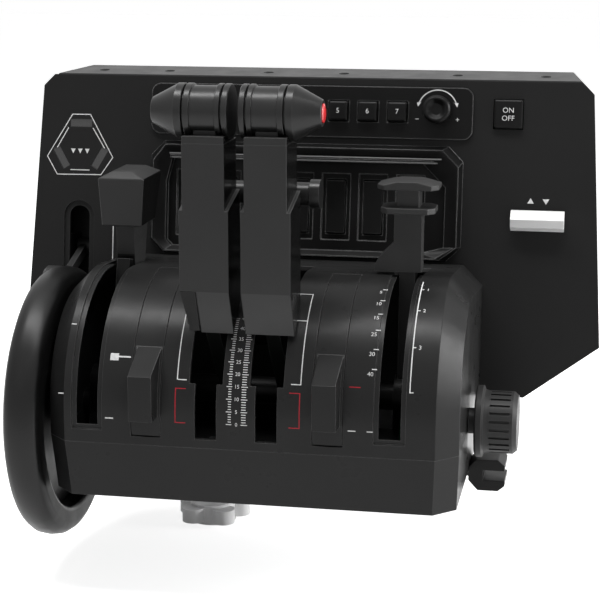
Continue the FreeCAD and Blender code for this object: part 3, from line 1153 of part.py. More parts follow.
upper_housing()
base_tub()
desk_pad()
blanking_cover("blanking_cover_left", "-lever_pitch * 1.5")
blanking_cover("blanking_cover_right", "lever_pitch * 1.5")
shaft_group()
boards()
for side, x, out in (("left", "-lever_pitch / 2", "-1"), ("right", "lever_pitch / 2", "1")):
    throttle_arm(side, x)
    throttle_blade(side, x)
    throttle_grip(side, x, out)
    reverser(side, x, out)
speedbrake()
flap_lever()
trim_wheel()
tension_knob()
panel_face()
panel_rear()
switch_frame()
rockers()
autopilot_plate()
keys()
dials()
flap_paddle()
gear_lever()
lamps_and_boards()
panel_brackets()
screws()
clamp()
cable_clip()
DOC.recompute()

for thing in DOC.Objects:
    if "Invalid" in thing.State or "Error" in thing.State:
        raise RuntimeError("%s did not compute: %s" % (thing.Name, thing.State))
os.makedirs("parts", exist_ok=True)
for made in PIECES:
    if made.Shape.isNull() or not made.Shape.isValid():
        raise RuntimeError("%s has no valid shape" % made.Label)
    made.Shape.exportStep("parts/%s.step" % made.Label)
    print("%-24s %2d solids %10.1f mm3" % (made.Label, len(made.Shape.Solids), made.Shape.Volume))
print(len(PIECES), "pieces")
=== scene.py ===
"""Looks of the throttle quadrant: every CAD piece is dressed, marked and lit here, in metres and the CAD's frame."""

import json
from math import atan2, cos, degrees, hypot, radians, sin

import bmesh
import bpy
from bpy.props import FloatProperty, FloatVectorProperty, IntProperty, PointerProperty
from mathutils import Matrix, Vector


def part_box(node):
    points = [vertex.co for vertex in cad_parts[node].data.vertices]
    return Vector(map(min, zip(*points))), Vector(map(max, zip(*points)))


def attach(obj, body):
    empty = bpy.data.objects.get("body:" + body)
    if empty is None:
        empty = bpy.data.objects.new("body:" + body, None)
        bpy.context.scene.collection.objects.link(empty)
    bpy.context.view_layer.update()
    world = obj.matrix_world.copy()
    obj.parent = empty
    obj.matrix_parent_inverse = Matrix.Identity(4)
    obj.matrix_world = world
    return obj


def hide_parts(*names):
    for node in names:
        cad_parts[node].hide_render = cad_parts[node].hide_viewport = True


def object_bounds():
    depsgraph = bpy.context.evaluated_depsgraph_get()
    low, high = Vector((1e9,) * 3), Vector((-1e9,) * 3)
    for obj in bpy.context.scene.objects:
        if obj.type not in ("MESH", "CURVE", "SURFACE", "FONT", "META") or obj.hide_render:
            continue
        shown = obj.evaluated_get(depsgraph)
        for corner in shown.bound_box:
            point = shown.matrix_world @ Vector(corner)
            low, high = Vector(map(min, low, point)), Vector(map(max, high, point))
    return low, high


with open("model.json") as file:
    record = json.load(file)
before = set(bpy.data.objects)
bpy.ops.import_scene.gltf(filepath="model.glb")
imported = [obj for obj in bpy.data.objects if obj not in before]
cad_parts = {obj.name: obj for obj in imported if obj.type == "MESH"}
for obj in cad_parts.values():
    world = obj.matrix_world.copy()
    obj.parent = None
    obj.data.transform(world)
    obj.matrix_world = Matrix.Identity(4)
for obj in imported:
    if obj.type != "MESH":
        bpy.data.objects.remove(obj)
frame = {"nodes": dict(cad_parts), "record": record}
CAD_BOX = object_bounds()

bl_info = {
    "name": "Throttle Quadrant",
    "version": (1, 0, 0),
    "blender": (4, 5, 0),
    "location": "3D View > Sidebar > Quadrant",
    "description": "Builds the visible pieces, finishes, markings and studio of a desk throttle quadrant",
    "category": "Object",
}

MM = 0.001
SHAFT = Vector((0.0, -0.075, 0.050))
DRUM = 72.0  # radius, in millimetres
PANEL_ORIGIN = Vector((0.0, 0.001, 0.120))
PANEL_OVER_SHAFT = 70.0  # how far the panel's origin stands over the shaft, in millimetres
PANEL_LEAN = radians(8.5)
PLATE_RISE = 2.0  # how far the key plate stands out of the panel, in millimetres
HANDLE_X = 0.017  # half the distance between the two throttle arms

# radii of the throttle handles, in millimetres
RING = 14.95
RING_SHOULDER = 14.6
BARREL = 13.8
GROOVE = 12.4

FLOOR_GAP = 0.0006
FLOOR_HALF = 6.0
FLOOR_GLOW = 0.8
LAMP_AIM = Vector((0.0, -0.04, 0.08))
CAMERA_SPOT = (0.204, -1.044, 0.320)
CAMERA_TURN = (radians(77.7), 0.0, radians(10.6))
CAMERA_LENS = 104.6
CAMERA_SENSOR = 36.0


def tone(level):
    """A grey as it is named in a paint box, 0 to 255, as the shader wants it."""
    value = level / 255
    return value / 12.92 if value <= 0.04045 else ((value + 0.055) / 1.055) ** 2.4


def grey(level):
    return (tone(level),) * 3


# ---------------------------------------------------------------- what a user would change


def colour_property(name, text, value):
    return FloatVectorProperty(name=name, description=text, subtype="COLOR", size=3, min=0.0, max=1.0, default=value)


def length_property(name, text, value):
    return FloatProperty(
        name=name, description=text, unit="LENGTH", subtype="DISTANCE", precision=5, default=value * MM,
    )


def power_property(name, text, value):
    return FloatProperty(name=name, description=text, unit="POWER", default=value)


class QuadrantFinish(bpy.types.PropertyGroup):
    housing: colour_property("Housing", "Moulded plastic of the tub and the drum", grey(29))
    panel: colour_property("Panel", "Moulded plastic of the leaning panel", grey(25))
    lever: colour_property("Levers", "Plastic of the lever arms and side handles", grey(42))
    grip: colour_property("Handles", "Satin lacquer of the throttle handles", grey(20))
    black: colour_property("Black parts", "Plastic of the switches and keys", grey(11))
    pale: colour_property("Pale switch", "Plastic of the flap switch paddle", grey(212))
    star: colour_property("Star knob", "Plastic of the clamp's star knob", grey(247))
    red: colour_property("Red buttons", "Buttons in the throttle handles", (0.48, 0.012, 0.016))
    white_paint: colour_property("White markings", "Printed numbers, ticks and lines", grey(214))
    red_paint: colour_property("Red markings", "Printed red brackets and dashes", (0.32, 0.012, 0.022))


class QuadrantDetail(bpy.types.PropertyGroup):
    soft_edge: length_property("Edge", "Rounding of moulded edges", 0.45)
    fine_edge: length_property("Fine edge", "Rounding of small parts' edges", 0.3)
    key_edge: length_property("Key edge", "Rounding of keys and paddles", 0.8)
    print_rise: length_property("Print", "Thickness of the printed markings", 0.08)
    line: length_property("Line", "Width of the printed lines", 0.55)
    number: length_property("Numbers", "Height of the printed numbers", 2.5)
    turns: IntProperty(name="Turning steps", description="Steps round a turned piece", min=24, max=256, default=96)


class QuadrantStage(bpy.types.PropertyGroup):
    overhead: power_property("Overhead lamp", "Power of the large lamp above", 33.0)
    side: power_property("Side lamp", "Power of the lamp at the right", 19.0)
    front: power_property("Front lamp", "Power of the lamp in front", 0.8)
    ambient: FloatProperty(name="Ambient", description="Light from all round", min=0.0, max=1.0, default=0.15)


# ---------------------------------------------------------------- finishes


def nodes_of(name):
    made = bpy.data.materials.new(name)
    made.use_nodes = True
    tree = made.node_tree
    shader = tree.nodes["Principled BSDF"]
    place = tree.nodes.new("ShaderNodeTexCoord")
    return made, tree, shader, place


def noise(tree, place, scale, detail=3.0, rough=0.55):
    made = tree.nodes.new("ShaderNodeTexNoise")
    made.inputs["Scale"].default_value = scale
    made.inputs["Detail"].default_value = detail
    made.inputs["Roughness"].default_value = rough
    tree.links.new(place.outputs["Object"], made.inputs["Vector"])
    return made


def spread(tree, source, low, high, start=0.3, end=0.7):
    made = tree.nodes.new("ShaderNodeMapRange")
    made.inputs["From Min"].default_value = start
    made.inputs["From Max"].default_value = end
    made.inputs["To Min"].default_value = low
    made.inputs["To Max"].default_value = high
    tree.links.new(source, made.inputs["Value"])
    return made


def edge_mask(tree, radius):
    """Where the painted edge highlight goes: 1 along edges and 0 on open faces, from how far a rounded normal turns
    from the face's own.
    """
    bevel = tree.nodes.new("ShaderNodeBevel")
    bevel.samples = 4
    bevel.inputs["Radius"].default_value = radius
    shape = tree.nodes.new("ShaderNodeNewGeometry")
    dot = tree.nodes.new("ShaderNodeVectorMath")
    dot.operation = "DOT_PRODUCT"
    tree.links.new(bevel.outputs["Normal"], dot.inputs[0])
    tree.links.new(shape.outputs["Normal"], dot.inputs[1])
    return spread(tree, dot.outputs["Value"], 1.0, 0.0, 0.86, 0.995)


def moulded(name, colour, rough, grain=0.35, depth=0.02, vary=0.08, edge=0.5, highlight_radius=0.5, specular=0.3, coat=0.0):
    """Moulded plastic: spark-eroded grain, slightly uneven gloss and colour, and edges painted lighter as a painted
    highlight.
    """
    made, tree, shader, place = nodes_of(name)
    base = tree.nodes.new("ShaderNodeMix")
    base.data_type = "RGBA"
    base.inputs["A"].default_value = tuple(c * (1 - vary) for c in colour) + (1.0,)
    base.inputs["B"].default_value = tuple(min(1.0, c * (1 + vary)) for c in colour) + (1.0,)
    cloudy = noise(tree, place, 14.0, 4.0)
    tree.links.new(spread(tree, cloudy.outputs["Fac"], 0.0, 1.0).outputs["Result"], base.inputs["Factor"])
    # painted highlight: the colour is made lighter along edges, by edge times, where the Bevel node finds them
    painted_edge_highlight = tree.nodes.new("ShaderNodeMix")
    painted_edge_highlight.data_type = "RGBA"
    painted_edge_highlight.inputs["B"].default_value = tuple(min(1.0, c * (1 + 2.2 * edge) + 0.03 * edge) for c in colour) + (1.0,)
    tree.links.new(edge_mask(tree, highlight_radius * MM).outputs["Result"], painted_edge_highlight.inputs["Factor"])
    tree.links.new(base.outputs["Result"], painted_edge_highlight.inputs["A"])
    tree.links.new(painted_edge_highlight.outputs["Result"], shader.inputs["Base Color"])
    patchy = noise(tree, place, 60.0, 5.0)
    gloss = spread(tree, patchy.outputs["Fac"], rough - 0.06, rough + 0.06)
    tree.links.new(gloss.outputs["Result"], shader.inputs["Roughness"])
    fine = noise(tree, place, 1.0 / (grain * MM), 2.0)
    bump = tree.nodes.new("ShaderNodeBump")
    bump.inputs["Strength"].default_value = 0.55
    bump.inputs["Distance"].default_value = depth * MM
    tree.links.new(fine.outputs["Fac"], bump.inputs["Height"])
    tree.links.new(bump.outputs["Normal"], shader.inputs["Normal"])
    shader.inputs["Specular IOR Level"].default_value = specular
    shader.inputs["Coat Weight"].default_value = coat
    shader.inputs["Coat Roughness"].default_value = 0.2
    return made


def metal(name, colour, rough, brushed):
    """Steel: drawn or turned, with fine lines along it."""
    made, tree, shader, place = nodes_of(name)
    stretch = tree.nodes.new("ShaderNodeMapping")
    stretch.inputs["Scale"].default_value = brushed
    tree.links.new(place.outputs["Object"], stretch.inputs["Vector"])
    lines = tree.nodes.new("ShaderNodeTexNoise")
    lines.inputs["Scale"].default_value = 900.0
    lines.inputs["Detail"].default_value = 3.0
    tree.links.new(stretch.outputs["Vector"], lines.inputs["Vector"])
    shade = tree.nodes.new("ShaderNodeMix")
    shade.data_type = "RGBA"
    shade.inputs["A"].default_value = tuple(c * 0.8 for c in colour) + (1.0,)
    shade.inputs["B"].default_value = tuple(colour) + (1.0,)
    tree.links.new(lines.outputs["Fac"], shade.inputs["Factor"])
    tree.links.new(shade.outputs["Result"], shader.inputs["Base Color"])
    gloss = spread(tree, lines.outputs["Fac"], rough - 0.08, rough + 0.1)
    tree.links.new(gloss.outputs["Result"], shader.inputs["Roughness"])
    shader.inputs["Metallic"].default_value = 1.0
    return made


def paint(name, colour):
    """Printed ink, a little uneven where it has dried."""
    made, tree, shader, place = nodes_of(name)
    ink = tree.nodes.new("ShaderNodeMix")
    ink.data_type = "RGBA"
    ink.inputs["A"].default_value = tuple(c * 0.82 for c in colour) + (1.0,)
    ink.inputs["B"].default_value = tuple(colour) + (1.0,)
    dried = noise(tree, place, 700.0, 2.0)
    tree.links.new(spread(tree, dried.outputs["Fac"], 0.0, 1.0).outputs["Result"], ink.inputs["Factor"])
    tree.links.new(ink.outputs["Result"], shader.inputs["Base Color"])
    shader.inputs["Roughness"].default_value = 0.55
    shader.inputs["Specular IOR Level"].default_value = 0.25
    return made


def background_seen(tree):
    """1 where the background is looked at, straight, in a gloss or through glass, and 0 where it lights the object."""
    path = tree.nodes.new("ShaderNodeLightPath")
    seen = path.outputs["Is Camera Ray"]
    for other in ("Is Glossy Ray", "Is Transmission Ray"):
        either = tree.nodes.new("ShaderNodeMath")
        either.operation = "MAXIMUM"
        tree.links.new(seen, either.inputs[0])
        tree.links.new(path.outputs[other], either.inputs[1])
        seen = either.outputs["Value"]
    return seen


def finish(context, name):
    """The named finish, made the first time that it is asked for."""
    key = "quadrant_" + name
    if key in bpy.data.materials:
        return bpy.data.materials[key]
    look = context.scene.quadrant_finish
    # each finish's edge value sets how much lighter its edges are painted, as a painted highlight; the switch frame's
    # is the strongest
    makers = {
        "housing": lambda: moulded(key, look.housing, 0.32, specular=0.12, edge=1.5, highlight_radius=0.4),
        "panel": lambda: moulded(key, look.panel, 0.5, specular=0.11, edge=0.6),
        # painted light: the lever plastic made lighter for the arms' facets that face down and forward, where light
        # falls on them
        "painted_light_facet": lambda: moulded(key, grey(56), 0.46, edge=0.4, specular=0.18),
        "casing": lambda: moulded(key, grey(50), 0.46, edge=0.4, specular=0.2),
        # painted shade: black plastic put on side faces of pieces that are lever plastic, to make those sides dark
        "flank": lambda: moulded(key, look.black, 0.2, grain=0.8, depth=0.006, edge=0.8, specular=0.12),
        "lever": lambda: moulded(key, look.lever, 0.44, edge=0.45, specular=0.16),
        "grip": lambda: moulded(
            key, look.grip, 0.36, grain=0.9, depth=0.004, edge=1.0, highlight_radius=0.35, specular=0.22, coat=0.1,
        ),
        "black": lambda: moulded(key, look.black, 0.36, edge=1.8, highlight_radius=0.35, specular=0.12),
        "frame": lambda: moulded(key, grey(12), 0.4, edge=4.6, highlight_radius=1.0, specular=0.1),
        "strip": lambda: moulded(key, grey(104), 0.5, edge=0.2),
        "wheel": lambda: moulded(key, look.black, 0.36, edge=0.6, specular=0.22),
        "pale": lambda: moulded(key, look.pale, 0.4, depth=0.006, vary=0.03, edge=0.1, specular=0.5),
        "star": lambda: moulded(key, look.star, 0.5, vary=0.03, edge=0.1),
        "red": lambda: moulded(key, look.red, 0.28, depth=0.004, edge=0.3, specular=0.5, coat=0.3),
        "rubber": lambda: moulded(key, grey(30), 0.82, grain=0.7, depth=0.08, edge=0.2, specular=0.15),
        "lens": lambda: moulded(key, grey(24), 0.16, grain=1.2, depth=0.01, edge=0.4, specular=0.5, coat=0.6),
        "board": lambda: moulded(key, (0.010, 0.075, 0.028), 0.4, vary=0.25, edge=0.1, specular=0.5),
        "steel": lambda: metal(key, (0.33, 0.33, 0.34), 0.4, (0.12, 1.0, 1.0)),
        "white_paint": lambda: paint(key, look.white_paint),
        "red_paint": lambda: paint(key, look.red_paint),
    }
    return makers[name]()


# ---------------------------------------------------------------- shaping


def settle(bm, name, material, body, sharp=32.0):
    """Turns a bmesh into a finished piece that rides on a body."""
    bmesh.ops.recalc_face_normals(bm, faces=bm.faces[:])
    return shade(bm, name, material, body, sharp)


def shade(bm, name, material, body, sharp=32.0):
    """Makes the piece, with smooth faces and its edges over an angle kept sharp."""
    limit = radians(sharp)
    for face in bm.faces:
        face.smooth = True
    for edge in bm.edges:
        edge.smooth = len(edge.link_faces) == 2 and edge.calc_face_angle(0.0) < limit
    mesh = bpy.data.meshes.new(name)
    bm.to_mesh(mesh)
    bm.free()
    mesh.materials.append(material)
    made = bpy.data.objects.new(name, mesh)
    bpy.context.scene.collection.objects.link(made)
    even = made.modifiers.new("even_shading", "WEIGHTED_NORMAL")
    even.keep_sharp = True
    even.weight = 60
    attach(made, body)
    return made


def soften(bm, width, segments, angle):
    """Rounds the edges that turn by more than an angle."""
    limit = radians(angle)
    edges = [e for e in bm.edges if len(e.link_faces) == 2 and e.calc_face_angle(0.0) > limit]
    if edges:
        bmesh.ops.bevel(
            bm, geom=edges, offset=width, offset_type="OFFSET", affect="EDGES", segments=segments,
            profile=0.5, clamp_overlap=True, material=-1,
        )


NODE_BODY = {node: body for body, names in frame["record"]["behaviour"]["bodies"].items() for node in names}


def dress(node, material, width, segments=2, angle=32.0):
    """A copy of a CAD piece with its triangles merged into faces and its edges rounded, which stands for it."""
    bm = bmesh.new()
    bm.from_mesh(frame["nodes"][node].data)
    bmesh.ops.remove_doubles(bm, verts=bm.verts[:], dist=2e-6)
    bmesh.ops.dissolve_limit(
        bm, angle_limit=radians(1.2), verts=bm.verts[:], edges=bm.edges[:], use_dissolve_boundaries=False,
    )
    soften(bm, width, segments, angle)
    made = shade(bm, node + "_skin", material, NODE_BODY[node])
    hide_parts(node)
    return made


def refinish(made, material, chosen):
    """Gives the faces that a test picks, by their normal, middle and area, a finish of their own."""
    made.data.materials.append(material)
    index = len(made.data.materials) - 1
    for face in made.data.polygons:
        if chosen(face.normal, face.center, face.area):
            face.material_index = index


# the side faces that are given the painted shade
def flank(normal, centre, area):
    return abs(normal.x) > 0.9 and area > 2e-6


# the arms' faces that turn down and forward, which get the lighter painted-light copy of the lever plastic
def under_facet(normal, centre, area):
    return normal.z < -0.2 and normal.y < -0.5 and area > 1e-5


# the faces within the drum, which are painted black as painted shade
def inside_drum(normal, centre, area):
    return hypot(centre.y - SHAFT.y, centre.z - SHAFT.z) < (DRUM - 1.5) * MM


def turned(name, body, material, profile, axis, centre, steps, width=0.25):
    """A turned piece: a half outline of (along, radius) in millimetres, spun round an axis."""
    direction = Vector(axis)
    side = Vector((0, 0, 1)) if abs(direction.z) < 0.5 else Vector((0, 1, 0))
    side = (side - direction * side.dot(direction)).normalized()
    bm = bmesh.new()
    row = [bm.verts.new(centre + direction * (a * MM) + side * (r * MM)) for a, r in profile]
    edges = [bm.edges.new(pair) for pair in zip(row, row[1:])]
    bmesh.ops.spin(
        bm, geom=row + edges, cent=centre, axis=direction, dvec=(0, 0, 0), angle=radians(360), steps=steps,
        use_merge=True,
    )
    bmesh.ops.remove_doubles(bm, verts=bm.verts[:], dist=1e-6)
    bmesh.ops.recalc_face_normals(bm, faces=bm.faces[:])
    soften(bm, width * MM, 2, 30.0)
    return settle(bm, name, material, body)


def drum_at(x, angle, rise=0.0):
    """A place on the drum, with its own right, up and outward directions."""
    a = radians(angle)
    up = Vector((0, sin(a), cos(a)))
    out = Vector((0, -cos(a), sin(a)))
    spot = SHAFT + Vector((x * MM, 0, 0)) + out * ((DRUM + rise) * MM)
    return Matrix.Translation(spot) @ Matrix((Vector((1, 0, 0)), up, out)).transposed().to_4x4()


def panel_at(x, z, rise=0.0):
    """A place on the leaning panel's face, with its own right, up and outward directions."""
    a = PANEL_LEAN
    up = Vector((0, sin(a), cos(a)))
    out = Vector((0, -cos(a), sin(a)))
    spot = PANEL_ORIGIN + Vector((x * MM, 0, 0)) + up * (z * MM) + out * (rise * MM)
    return Matrix.Translation(spot) @ Matrix((Vector((1, 0, 0)), up, out)).transposed().to_4x4()


def front_of(node):
    """How far a piece stands out of the panel's face, in millimetres."""
    out = Vector((0, -cos(PANEL_LEAN), sin(PANEL_LEAN)))
    return max((v.co - PANEL_ORIGIN).dot(out) for v in frame["nodes"][node].data.vertices) / MM


def bar(bm, place, start, end, width, rise):
    """A printed line between two points of a flat place, in millimetres."""
    x0, y0, x1, y1 = *start, *end
    middle = Matrix.Translation(Vector(((x0 + x1) / 2, (y0 + y1) / 2, 0)) * MM)
    turn = Matrix.Rotation(atan2(y1 - y0, x1 - x0), 4, "Z")
    size = Matrix.Diagonal(((hypot(x1 - x0, y1 - y0) + width) * MM, width * MM, rise * MM, 1))
    bmesh.ops.create_cube(bm, size=1.0, matrix=place @ middle @ turn @ size)


def band(bm, x0, x1, low, high, rise, sunk=0.02):
    """A printed line that follows the drum, from one angle to another."""
    a = radians(low)
    corners = []
    for x, r in ((x0, DRUM - sunk), (x1, DRUM - sunk), (x1, DRUM + rise), (x0, DRUM + rise)):
        corners.append(bm.verts.new(SHAFT + Vector((x, -r * cos(a), r * sin(a))) * MM))
    face = bm.faces.new(corners)
    bmesh.ops.spin(
        bm, geom=[face] + face.edges[:] + corners, cent=SHAFT, axis=(1, 0, 0), dvec=(0, 0, 0),
        angle=-radians(high - low), steps=max(1, round((high - low) / 2.0)), use_merge=False,
    )


def number(bm, text, height, place, rise, turn=0.0):
    """Printed figures or signs, made a mesh before they are placed."""
    curve = bpy.data.curves.new("figures", "FONT")
    curve.body = text
    curve.size = height * 1.35 * MM
    curve.extrude = rise * MM / 2
    curve.align_x = "CENTER"
    curve.align_y = "CENTER"
    curve.resolution_u = 3
    holder = bpy.data.objects.new("figures", curve)
    mesh = bpy.data.meshes.new_from_object(holder)
    mesh.transform(place @ Matrix.Rotation(radians(turn), 4, "Z"))
    bm.from_mesh(mesh)
    bpy.data.objects.remove(holder)
    bpy.data.curves.remove(curve)
    bpy.data.meshes.remove(mesh)


def triangle(bm, place, points, rise):
    """A small printed arrow head or block of any outline."""
    face = bm.faces.new([bm.verts.new(place @ (Vector((x, y, 0)) * MM)) for x, y in points])
    pushed = bmesh.ops.extrude_face_region(bm, geom=[face])
    out = place.to_3x3() @ Vector((0, 0, 1)) * (rise * MM)
    bmesh.ops.translate(bm, vec=out, verts=[v for v in pushed["geom"] if isinstance(v, bmesh.types.BMVert)])


# ---------------------------------------------------------------- operators


class PieceOperator(bpy.types.Operator):
    bl_options = {"REGISTER", "UNDO"}

    def start(self, context):
        self.detail = context.scene.quadrant_detail
        self.context = context

    def of(self, name):
        return finish(self.context, name)


class QUADRANT_OT_housing(PieceOperator):
    """The tub, the drum over the levers, the desk pad and the cable hook"""

    bl_idname = "quadrant.housing"
    bl_label = "Housing"

    def execute(self, context):
        self.start(context)
        dress("base_tub", self.of("housing"), self.detail.soft_edge * 1.6, 3)
        dress("upper_housing", self.of("housing"), self.detail.fine_edge, 2, 26.0)
        dress("desk_pad", self.of("rubber"), self.detail.fine_edge)
        dress("cable_clip", self.of("black"), self.detail.soft_edge)
        bm = bmesh.new()
        band(bm, 88.0, 109.4, -10.1, -8.1, 0.45, 0.3)
        bmesh.ops.recalc_face_normals(bm, faces=bm.faces[:])
        soften(bm, 0.12 * MM, 2, 40.0)
        settle(bm, "lower_strip", self.of("strip"), "housing")
        return {"FINISHED"}


class QUADRANT_OT_covers(PieceOperator):
    """The two blanking covers with their grip blocks"""

    bl_idname = "quadrant.covers"
    bl_label = "Blanking covers"

    def execute(self, context):
        self.start(context)
        for side in ("left", "right"):
            dress("blanking_cover_" + side, self.of("housing"), self.detail.soft_edge, 2)
        return {"FINISHED"}


class QUADRANT_OT_arms(PieceOperator):
    """The throttle arms, their blades in the slots and the reverser levers"""

    bl_idname = "quadrant.arms"
    bl_label = "Throttle arms"

    def execute(self, context):
        self.start(context)
        for side, out in (("left", -1), ("right", 1)):
            made = dress("throttle_arm_" + side, self.of("lever"), self.detail.soft_edge, 3)
            # painted shade: the arm's side faces made black
            refinish(made, self.of("flank"), flank)
            # painted light: lighter plastic on the facets that face down and forward
            refinish(made, self.of("painted_light_facet"), under_facet)
            bm = bmesh.new()
            size = Matrix.Diagonal((23.2 * MM, 26.0 * MM, 10.4 * MM, 1))
            bmesh.ops.create_cube(bm, size=1.0, matrix=Matrix.Translation((out * HANDLE_X, -0.1329, 0.2024)) @ size)
            soften(bm, self.detail.soft_edge, 3, 30.0)
            made = settle(bm, "arm_top_" + side, self.of("lever"), "throttle_" + side)
            refinish(made, self.of("flank"), flank)
            dress("throttle_blade_" + side, self.of("black"), self.detail.fine_edge)
            dress("reverser_" + side, self.of("grip"), self.detail.soft_edge, 3)
        # painted shade: a thin dark sheet laid on the corner of the left arm's foot, where the notch there lies in
        # shade
        bm = bmesh.new()
        corners = [(-30.6, -146.0, 122.8), (-22.0, -146.0, 122.8), (-22.4, -134.7, 98.8), (-27.6, -134.7, 98.8)]
        face = bm.faces.new([bm.verts.new(Vector(c) * MM) for c in corners])
        pushed = bmesh.ops.extrude_face_region(bm, geom=[face])
        moved = [v for v in pushed["geom"] if isinstance(v, bmesh.types.BMVert)]
        bmesh.ops.translate(bm, vec=Vector((0, 0.55, 0.25)) * MM, verts=moved)
        settle(bm, "painted_shade_foot_corner", self.of("flank"), "throttle_left")
        return {"FINISHED"}


class QUADRANT_OT_handles(PieceOperator):
    """The throttle handles with ringed ends and coned noses, a red button in the right one and a black one in the left
    """

    bl_idname = "quadrant.handles"
    bl_label = "Throttle handles"

    def execute(self, context):
        self.start(context)
        steps = self.detail.turns
        for side, out in (("left", -1), ("right", 1)):
            node = "throttle_grip_" + side
            centre = Vector((out * HANDLE_X - 0.0009, -0.131, 0.2196))
            profile = [
                (-14.0, 0), (-14.0, GROOVE), (-14.0, 14.5), (-13.5, RING), (-11.1, RING), (-10.7, RING_SHOULDER),
                (-10.6, GROOVE), (-9.9, GROOVE), (-9.8, RING_SHOULDER), (-9.4, RING), (-7.3, RING),
                (-6.9, RING_SHOULDER), (-6.8, BARREL), (6.7, BARREL), (6.8, RING_SHOULDER), (7.2, RING), (9.9, RING),
                (10.3, RING_SHOULDER), (10.4, GROOVE), (11.1, GROOVE), (11.2, RING_SHOULDER), (11.6, RING),
                (15.2, RING), (15.8, 14.5), (29.2, 7.4), (29.6, 6.9), (29.6, 5.6), (28.4, 5.4), (28.4, 0),
            ]
            made = turned(
                "handle_" + side, "throttle_" + side, self.of("grip"), profile, (out, 0, 0), centre, steps, 0.08,
            )
            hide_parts(node)
            tip = 30.8 if side == "right" else 29.4
            button = [
                (27.4, 0), (27.4, 5.2), (tip - 0.9, 5.2), (tip - 0.5, 4.7), (tip - 0.15, 3.4), (tip, 1.8), (tip, 0),
            ]
            look = self.of("red" if side == "right" else "black")
            made = turned("button_" + side, "grip_button_" + side, look, button, (out, 0, 0), centre, 48, 0.1)
            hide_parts("grip_button_" + side)
        return {"FINISHED"}


class QUADRANT_OT_side_levers(PieceOperator):
    """The speedbrake lever at the left and the flap lever at the right"""

    bl_idname = "quadrant.side_levers"
    bl_label = "Side levers"

    def execute(self, context):
        self.start(context)
        made = dress("speedbrake_arm", self.of("lever"), self.detail.soft_edge)
        # painted shade: the arm's parts inside the drum made black so the slot looks dark
        refinish(made, self.of("black"), inside_drum)
        made = dress("speedbrake_knob", self.of("lever"), self.detail.key_edge, 3)
        # painted shade: the knob's side faces made black
        refinish(made, self.of("flank"), lambda normal, centre, area: abs(normal.x) > 0.8 and area > 2e-6)
        made = dress("flap_arm", self.of("lever"), self.detail.soft_edge)
        # painted shade: the arm's parts inside the drum made black so the slot looks dark
        refinish(made, self.of("black"), inside_drum)
        dress("flap_handle", self.of("lever"), self.detail.soft_edge, 3)
        return {"FINISHED"}


class QUADRANT_OT_trim_wheel(PieceOperator):
    """The trim wheel's rim and its dished hub"""

    bl_idname = "quadrant.trim_wheel"
    bl_label = "Trim wheel"

    def execute(self, context):
        self.start(context)
        dress("trim_wheel_rim", self.of("wheel"), self.detail.key_edge * 1.5, 3)
        dress("trim_wheel_hub", self.of("wheel"), self.detail.soft_edge, 2)
        return {"FINISHED"}


class QUADRANT_OT_tension_knob(PieceOperator):
    """The fluted knob that sets how stiffly the levers move"""

    bl_idname = "quadrant.tension_knob"
    bl_label = "Tension knob"

    def execute(self, context):
        self.start(context)
        dress("tension_knob", self.of("lever"), self.detail.fine_edge, 2, 30.0)
        return {"FINISHED"}


class QUADRANT_OT_panel(PieceOperator):
    """The leaning panel, its casing, the switch frame and the key plate"""

    bl_idname = "quadrant.panel"
    bl_label = "Panel"

    def execute(self, context):
        self.start(context)
        dress("panel_face", self.of("panel"), self.detail.soft_edge)
        dress("panel_rear", self.of("casing"), self.detail.soft_edge)
        dress("switch_frame", self.of("frame"), self.detail.soft_edge)
        dress("autopilot_plate", self.of("frame"), self.detail.soft_edge, 3)
        # the inner ledge at the top of the switch frame, and two pale lines on its lips as painted highlights
        bm = bmesh.new()
        bar(bm, panel_at(0, 0, 1.7), (-74.0, 56.0), (94.0, 56.0), 2.2, 3.4)
        soften(bm, self.detail.fine_edge, 2, 40.0)
        settle(bm, "frame_ledge", self.of("frame"), "housing")
        bm = bmesh.new()
        bar(bm, panel_at(0, 0, 3.5), (-73.6, 55.6), (93.6, 55.6), 0.8, 0.2)
        bar(bm, panel_at(0, 0, 5.0), (-74.6, 58.0), (94.6, 58.0), 0.8, 0.2)
        settle(bm, "frame_painted_highlights", self.of("strip"), "housing")
        return {"FINISHED"}


class QUADRANT_OT_switches(PieceOperator):
    """The rocker switches, the keys, the dials and the flap paddle"""

    bl_idname = "quadrant.switches"
    bl_label = "Switches and dials"

    def execute(self, context):
        self.start(context)
        for i in range(1, 8):
            node = "rocker_%d" % i
            dress(node, self.of("black"), self.detail.fine_edge)
            low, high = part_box(node)
            # painted highlight: a pale bar along the top edge of each rocker
            bm = bmesh.new()
            bar(bm, panel_at((low[0] + high[0]) / 2 / MM, 43.1, front_of(node) - 0.7), (-4.9, 0), (4.9, 0), 0.9, 0.6)
            soften(bm, 0.15 * MM, 2, 40.0)
            settle(bm, "rocker_ridge_%d" % i, self.of("strip"), node)
            dress("autopilot_key_%d" % i, self.of("black"), self.detail.key_edge, 3)
        dress("large_key", self.of("black"), self.detail.key_edge, 3)
        dress("encoder_dial", self.of("black"), self.detail.soft_edge, 3)
        dress("mode_selector", self.of("black"), self.detail.soft_edge, 3)
        dress("flap_paddle", self.of("pale"), self.detail.fine_edge)
        return {"FINISHED"}


class QUADRANT_OT_gear(PieceOperator):
    """The landing gear lever and its three lamp windows"""

    bl_idname = "quadrant.gear"
    bl_label = "Gear lever and lamps"

    def execute(self, context):
        self.start(context)
        dress("gear_lever", self.of("lever"), self.detail.soft_edge)
        dress("gear_lamps", self.of("lens"), self.detail.fine_edge)
        return {"FINISHED"}


